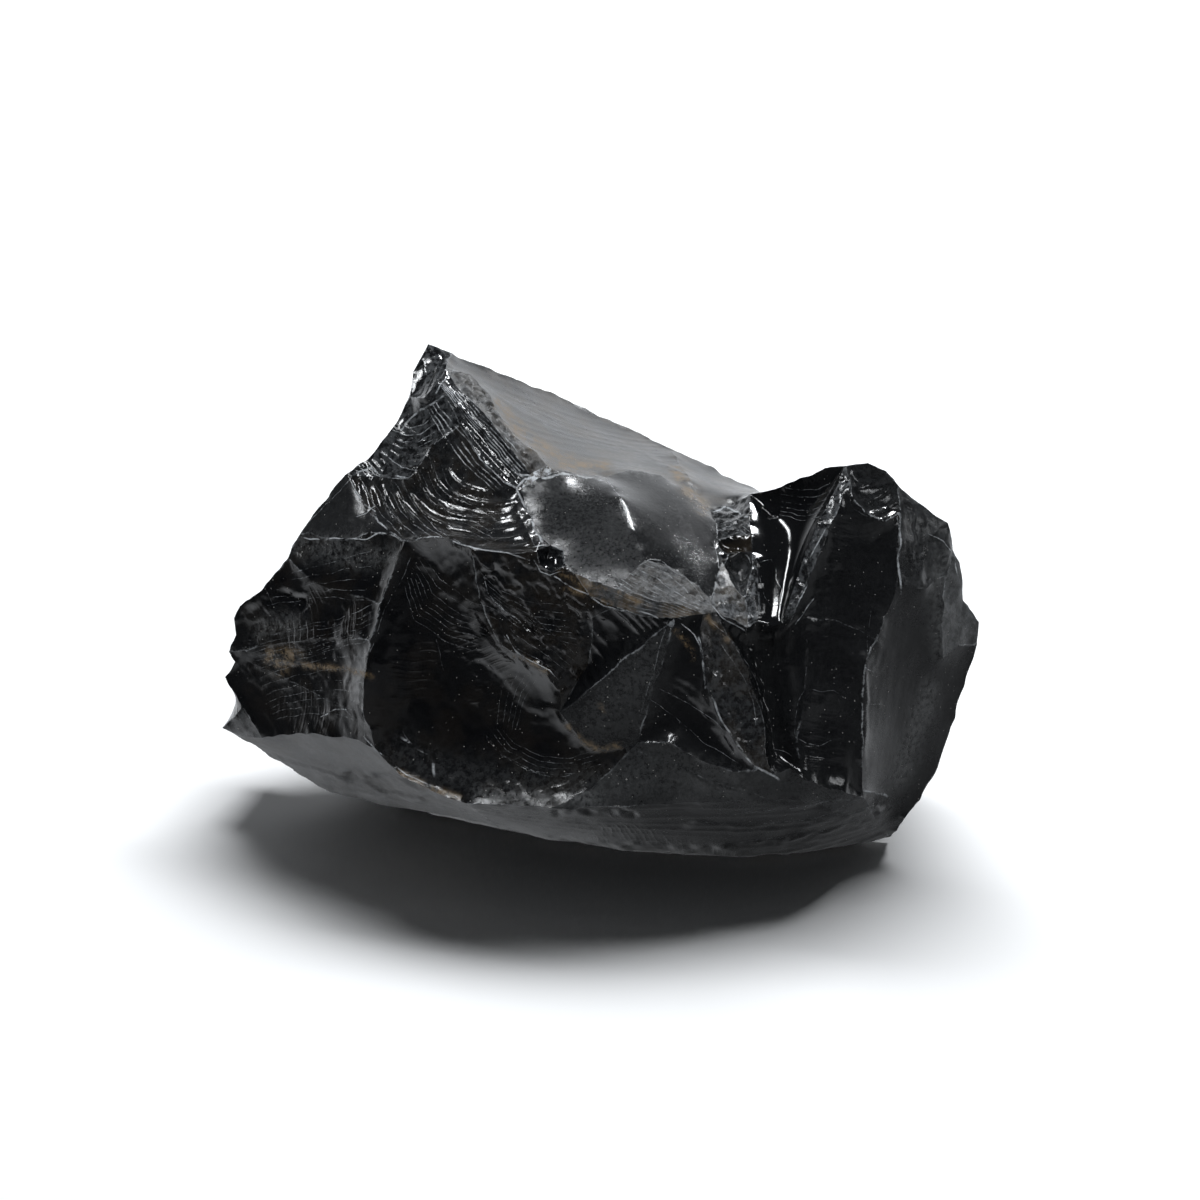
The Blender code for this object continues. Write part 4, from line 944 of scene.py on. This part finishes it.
def obsidian():
    """Return the material: black glass under dust, ochre stain, crushed glass and painted highlights laid as pale
    lines.
    """
    material = bpy.data.materials.new("obsidian_glass")
    material.use_nodes = True
    tree = material.node_tree
    shader = tree.nodes["Principled BSDF"]
    place = node(tree, "ShaderNodeTexCoord").outputs["Object"]
    finish = node(tree, "ShaderNodeVertexColor", layer_name="finish")
    parts = node(tree, "ShaderNodeSeparateColor", {0: finish.outputs["Color"]}).outputs
    rough, dust, ochre, pale = parts[0], parts[1], parts[2], finish.outputs["Alpha"]
    stains = node(tree, "ShaderNodeVertexColor", layer_name="stain")
    drawn = node(tree, "ShaderNodeSeparateColor", {0: stains.outputs["Color"]}).outputs
    wear = stains.outputs["Alpha"]

    def noise(scale, detail=4.0, roughness=0.6, distortion=0.0, vector=place):
        return node(tree, "ShaderNodeTexNoise", {"Vector": vector, "Scale": scale, "Detail": detail,
                    "Roughness": roughness, "Distortion": distortion}).outputs["Fac"]

    ramp, times, plus = sums(tree)
    line = node(tree, "ShaderNodeAttribute", attribute_name="lines").outputs["Vector"]
    line = node(tree, "ShaderNodeSeparateXYZ", {0: line}).outputs
    line = times(line[1], ramp(formula(tree, 'DIVIDE', formula(tree, 'ABSOLUTE', line[0]), line[2]), 1.3, 0.3))
    rings = node(tree, "ShaderNodeAttribute", attribute_name="rings").outputs["Fac"]
    strike = node(tree, "ShaderNodeAttribute", attribute_name="strike").outputs["Vector"]
    reach = node(tree, "ShaderNodeVectorMath", {0: place, 1: strike}, operation='DISTANCE').outputs["Value"]
    broad = formula(tree, 'PINGPONG', plus(times(reach, 520.0), times(noise(60.0, 2.0), 3.2)), 0.5)
    close = formula(tree, 'PINGPONG', plus(times(reach, 1150.0), times(noise(45.0, 2.0), 4.6)), 0.5)
    carved = plus(times(formula(tree, 'POWER', times(broad, 2.0), 3.0), 0.5),
                  times(formula(tree, 'POWER', times(close, 2.0), 3.0), 0.2))
    ringed = times(times(rings, ramp(noise(80.0, 4.0, 0.6), 0.47, 0.66)), carved)

    fine = noise(1500.0, 4.0, 0.7)
    mottle = plus(times(ramp(noise(1500.0, 6.0, 0.8), 0.34, 0.68), 0.6),
                  times(ramp(noise(150.0, 5.0, 0.7), 0.4, 0.7), 0.3))
    film = plus(times(dust, plus(0.15, mottle)), times(drawn[1], ramp(noise(900.0, 6.0, 0.75), 0.36, 0.62)), True)
    film = plus(film, times(times(ramp(rough, 0.35, 0.6), 0.3), ramp(noise(1000.0, 4.0, 0.75), 0.48, 0.62)), True)
    # crushed glass and ridge wear, with the drawn pale lines, which partly paint highlights where the glass catches
    # the light
    crumbs = times(pale, ramp(noise(700.0, 5.0, 0.75), 0.42, 0.62))
    broken = times(ramp(noise(260.0, 6.0, 0.75), 0.40, 0.60), ramp(plus(line, times(fine, 1.3)), 0.62, 1.0))
    lines = times(times(line, 1.6), broken)
    edges = times(ramp(plus(times(wear, 0.7), fine), 0.96, 1.3), ramp(noise(70.0, 3.0), 0.46, 0.68))
    crushed = plus(plus(crumbs, lines), plus(times(edges, 0.4), times(ramp(ringed, 0.06, 0.2), 0.02)), True)
    rust = plus(times(ochre, ramp(noise(160.0, 5.0, 0.65), 0.42, 0.62)),
                times(drawn[0], times(ramp(noise(300.0, 8.0, 0.8), 0.42, 0.60), 0.9)), True)
    colour = mixed(tree, film, GLASS, DUST)
    colour = mixed(tree, rust, colour, RUST)
    colour = mixed(tree, crushed, colour, CRUSHED_AND_HIGHLIGHT)
    specks = None
    crowd = ramp(noise(70.0, 2.0), 0.40, 0.68)
    for count, rarity, size in SPECKS:
        grains = node(tree, "ShaderNodeTexVoronoi", {"Vector": place, "Scale": count, "Randomness": 1.0})
        throw = node(tree, "ShaderNodeSeparateColor", {0: grains.outputs["Color"]}).outputs[0]
        chosen = ramp(plus(throw, times(crowd, 0.04)), rarity + 0.025, rarity + 0.03)
        near = ramp(plus(grains.outputs["Distance"], times(plus(fine, -0.5), 0.35)), size, size * 0.6)
        speck = times(chosen, near)
        specks = speck if specks is None else plus(specks, speck, True)
    colour = mixed(tree, times(specks, 0.6), colour, SPECK)
    tree.links.new(colour, shader.inputs["Base Color"])

    dirt = plus(plus(film, crushed), plus(rust, specks), True)
    gloss = times(rough, plus(0.75, times(noise(90.0), 0.5)))
    tree.links.new(plus(gloss, times(dirt, 0.5), True), shader.inputs["Roughness"])
    shader.inputs["IOR"].default_value = GLASS_IOR

    grit = times(fine, plus(0.08, dirt))
    torn = times(noise(1300.0, 3.0, 0.7), ramp(rough, 0.3, 0.6))
    soft = times(noise(420.0, 4.0, 0.55), times(rough, 4.0, True))
    heights = (plus(ringed, times(line, 0.06)), torn, soft, grit)
    bump = None
    for height, strength, distance in zip(heights, (1.0, 1.0, 0.3, 0.6), BUMPS):
        below = {"Normal": bump.outputs[0]} if bump else {}
        bump = node(tree, "ShaderNodeBump", {"Strength": strength, "Distance": distance, "Height": height, **below})
    tree.links.new(bump.outputs[0], shader.inputs["Normal"])
    return material


def chunk():
    """Put the dressed chunk in the scene in its solid's place."""
    mesh = chunk_mesh()
    mesh.materials.append(obsidian())
    made = bpy.data.objects.new("chunk_surface", mesh)
    bpy.context.scene.collection.objects.link(made)
    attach(made, "root")
    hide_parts("obsidian_chunk")
    return made


FLOOR_SIZE = 9.0
FLOOR_DROP = 0.0001                        # how far the floor lies under the chunk
FLOOR_PALE = (0.88, 0.88, 0.88, 1.0)
GLOW_FROM, GLOW_TO = 0.15, 0.9             # how far behind the chunk the floor's glow begins, and is full


def floor():
    """Lay a plain pale floor that glows at the back like a lit backdrop. The glass mirrors the world instead."""
    bpy.ops.mesh.primitive_plane_add(size=FLOOR_SIZE, location=(0.0, 0.0, -FLOOR_DROP))
    made = bpy.context.object
    made.name = "studio_floor"
    material = bpy.data.materials.new("studio_white")
    material.use_nodes = True
    tree = material.node_tree
    shader = tree.nodes["Principled BSDF"]
    place = node(tree, "ShaderNodeTexCoord").outputs["Object"]
    parts = node(tree, "ShaderNodeSeparateXYZ", {0: place}).outputs
    shader.inputs["Base Color"].default_value = FLOOR_PALE
    shader.inputs["Roughness"].default_value = 0.9
    ramp, _, _ = sums(tree)
    shader.inputs["Emission Color"].default_value = (1.0, 1.0, 1.0, 1.0)
    tree.links.new(ramp(parts[1], GLOW_FROM, GLOW_TO), shader.inputs["Emission Strength"])
    made.data.materials.append(material)
    made.visible_glossy = False
    return made


SKY_TINT = (0.95, 0.98, 1.02, 1.0)
LAMP_TINT = (0.95, 0.975, 1.0)
SKY_BRIGHT, SKY_DIM, OVERHEAD = 1.4, 0.010, 0.035


def studio_world():
    """Light the chunk from a dim studio with a bright band behind and above it.

    Its lower half stands for the floor that the glass would mirror: shaded close by, and lit further off.
    """
    world = bpy.data.worlds.new("studio")
    bpy.context.scene.world = world
    world.use_nodes = True
    tree = world.node_tree
    ramp, times, plus = sums(tree)
    way = node(tree, "ShaderNodeTexCoord").outputs["Generated"]
    right, back, up = node(tree, "ShaderNodeSeparateXYZ", {0: way}).outputs

    def above(value):
        return formula(tree, 'MAXIMUM', value, 0.0)

    slope = plus(times(back, 0.9), times(up, -0.5))
    slope = plus(slope, times(formula(tree, 'ABSOLUTE', right), 0.16))
    band = times(ramp(slope, 0.32, 0.80, SKY_DIM, SKY_BRIGHT), ramp(up, -0.55, -0.2))
    steep = above(plus(times(up, -1.0), -0.4))
    sides = plus(times(above(times(right, -1.0)), times(steep, 5.0)), times(above(right), 0.2))
    near = ramp(up, -0.25, -0.65, 0.04, 0.12)
    below = node(tree, "ShaderNodeMapRange", {"Value": up, "From Min": 0.04, "From Max": -0.04}).outputs[0]
    light = plus(plus(band, times(above(up), OVERHEAD)), times(below, plus(sides, near)))
    tree.links.new(light, tree.nodes["Background"].inputs["Strength"])
    tree.nodes["Background"].inputs["Color"].default_value = SKY_TINT


def lamp(name, place, width, length, power, only=None):
    """Hang a soft oblong lamp that faces the chunk, and lights one collection only if it is given one."""
    light = bpy.data.lights.new(name, 'AREA')
    light.shape = 'RECTANGLE'
    light.size = width
    light.size_y = length
    light.energy = power
    light.color = LAMP_TINT
    made = bpy.data.objects.new(name, light)
    bpy.context.scene.collection.objects.link(made)
    made.location = place
    aim = Vector((0.0, 0.0, MIDDLE[2] * MM)) - Vector(place)
    made.rotation_euler = aim.to_track_quat('-Z', 'Y').to_euler()
    if only:
        made.light_linking.receiver_collection = only


def toward(azimuth, elevation, distance):
    """Return the place at a bearing from the middle of the chunk: 0 is straight behind, 90 is to the right."""
    turn, rise = math.radians(azimuth), math.radians(elevation)
    return (distance * math.sin(turn) * math.cos(rise), distance * math.cos(turn) * math.cos(rise),
            MIDDLE[2] * MM + distance * math.sin(rise))


def lights(surface, ground):
    """Hang one soft lamp for the floor and its shadow, and four small ones for the gloss of the glass."""
    glass, shade = (bpy.data.collections.new(name) for name in ("lit_glass", "lit_floor"))
    glass.objects.link(surface)
    shade.objects.link(ground)
    lamp("floor_key", toward(19, 61, 1.3), 1.2, 0.30, 30.0, shade)
    lamp("glass_key", toward(36, 51, 1.3), 0.18, 0.12, 9.0, glass)
    lamp("side", toward(-88, 59, 1.2), 0.5, 0.10, 5.5, glass)
    lamp("top", toward(-172, 71, 1.2), 0.5, 0.10, 7.0, glass)
    lamp("right", toward(112, 34, 1.2), 0.10, 0.5, 1.2, glass)


LENS = 70.0
SENSOR = 36.0


def camera():
    """Look at the chunk from the station that its corners are sighted from."""
    data = bpy.data.cameras.new("camera")
    data.lens = LENS
    data.sensor_width = SENSOR
    made = bpy.data.objects.new("camera", data)
    bpy.context.scene.collection.objects.link(made)
    station, way = sight_line(0.0, 0.0)
    made.location = Vector(station) * MM
    made.rotation_euler = Vector(way).to_track_quat('-Z', 'Y').to_euler()
    bpy.context.scene.camera = made


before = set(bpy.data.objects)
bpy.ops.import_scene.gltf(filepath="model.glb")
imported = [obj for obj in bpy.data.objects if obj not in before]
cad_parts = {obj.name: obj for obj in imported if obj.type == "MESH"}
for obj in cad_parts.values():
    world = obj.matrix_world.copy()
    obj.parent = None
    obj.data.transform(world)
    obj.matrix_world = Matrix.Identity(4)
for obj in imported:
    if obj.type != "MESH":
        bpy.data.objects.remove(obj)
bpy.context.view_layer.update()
surface = chunk()
ground = floor()
studio_world()
lights(surface, ground)
camera()
bpy.context.scene.view_settings.view_transform = 'Standard'
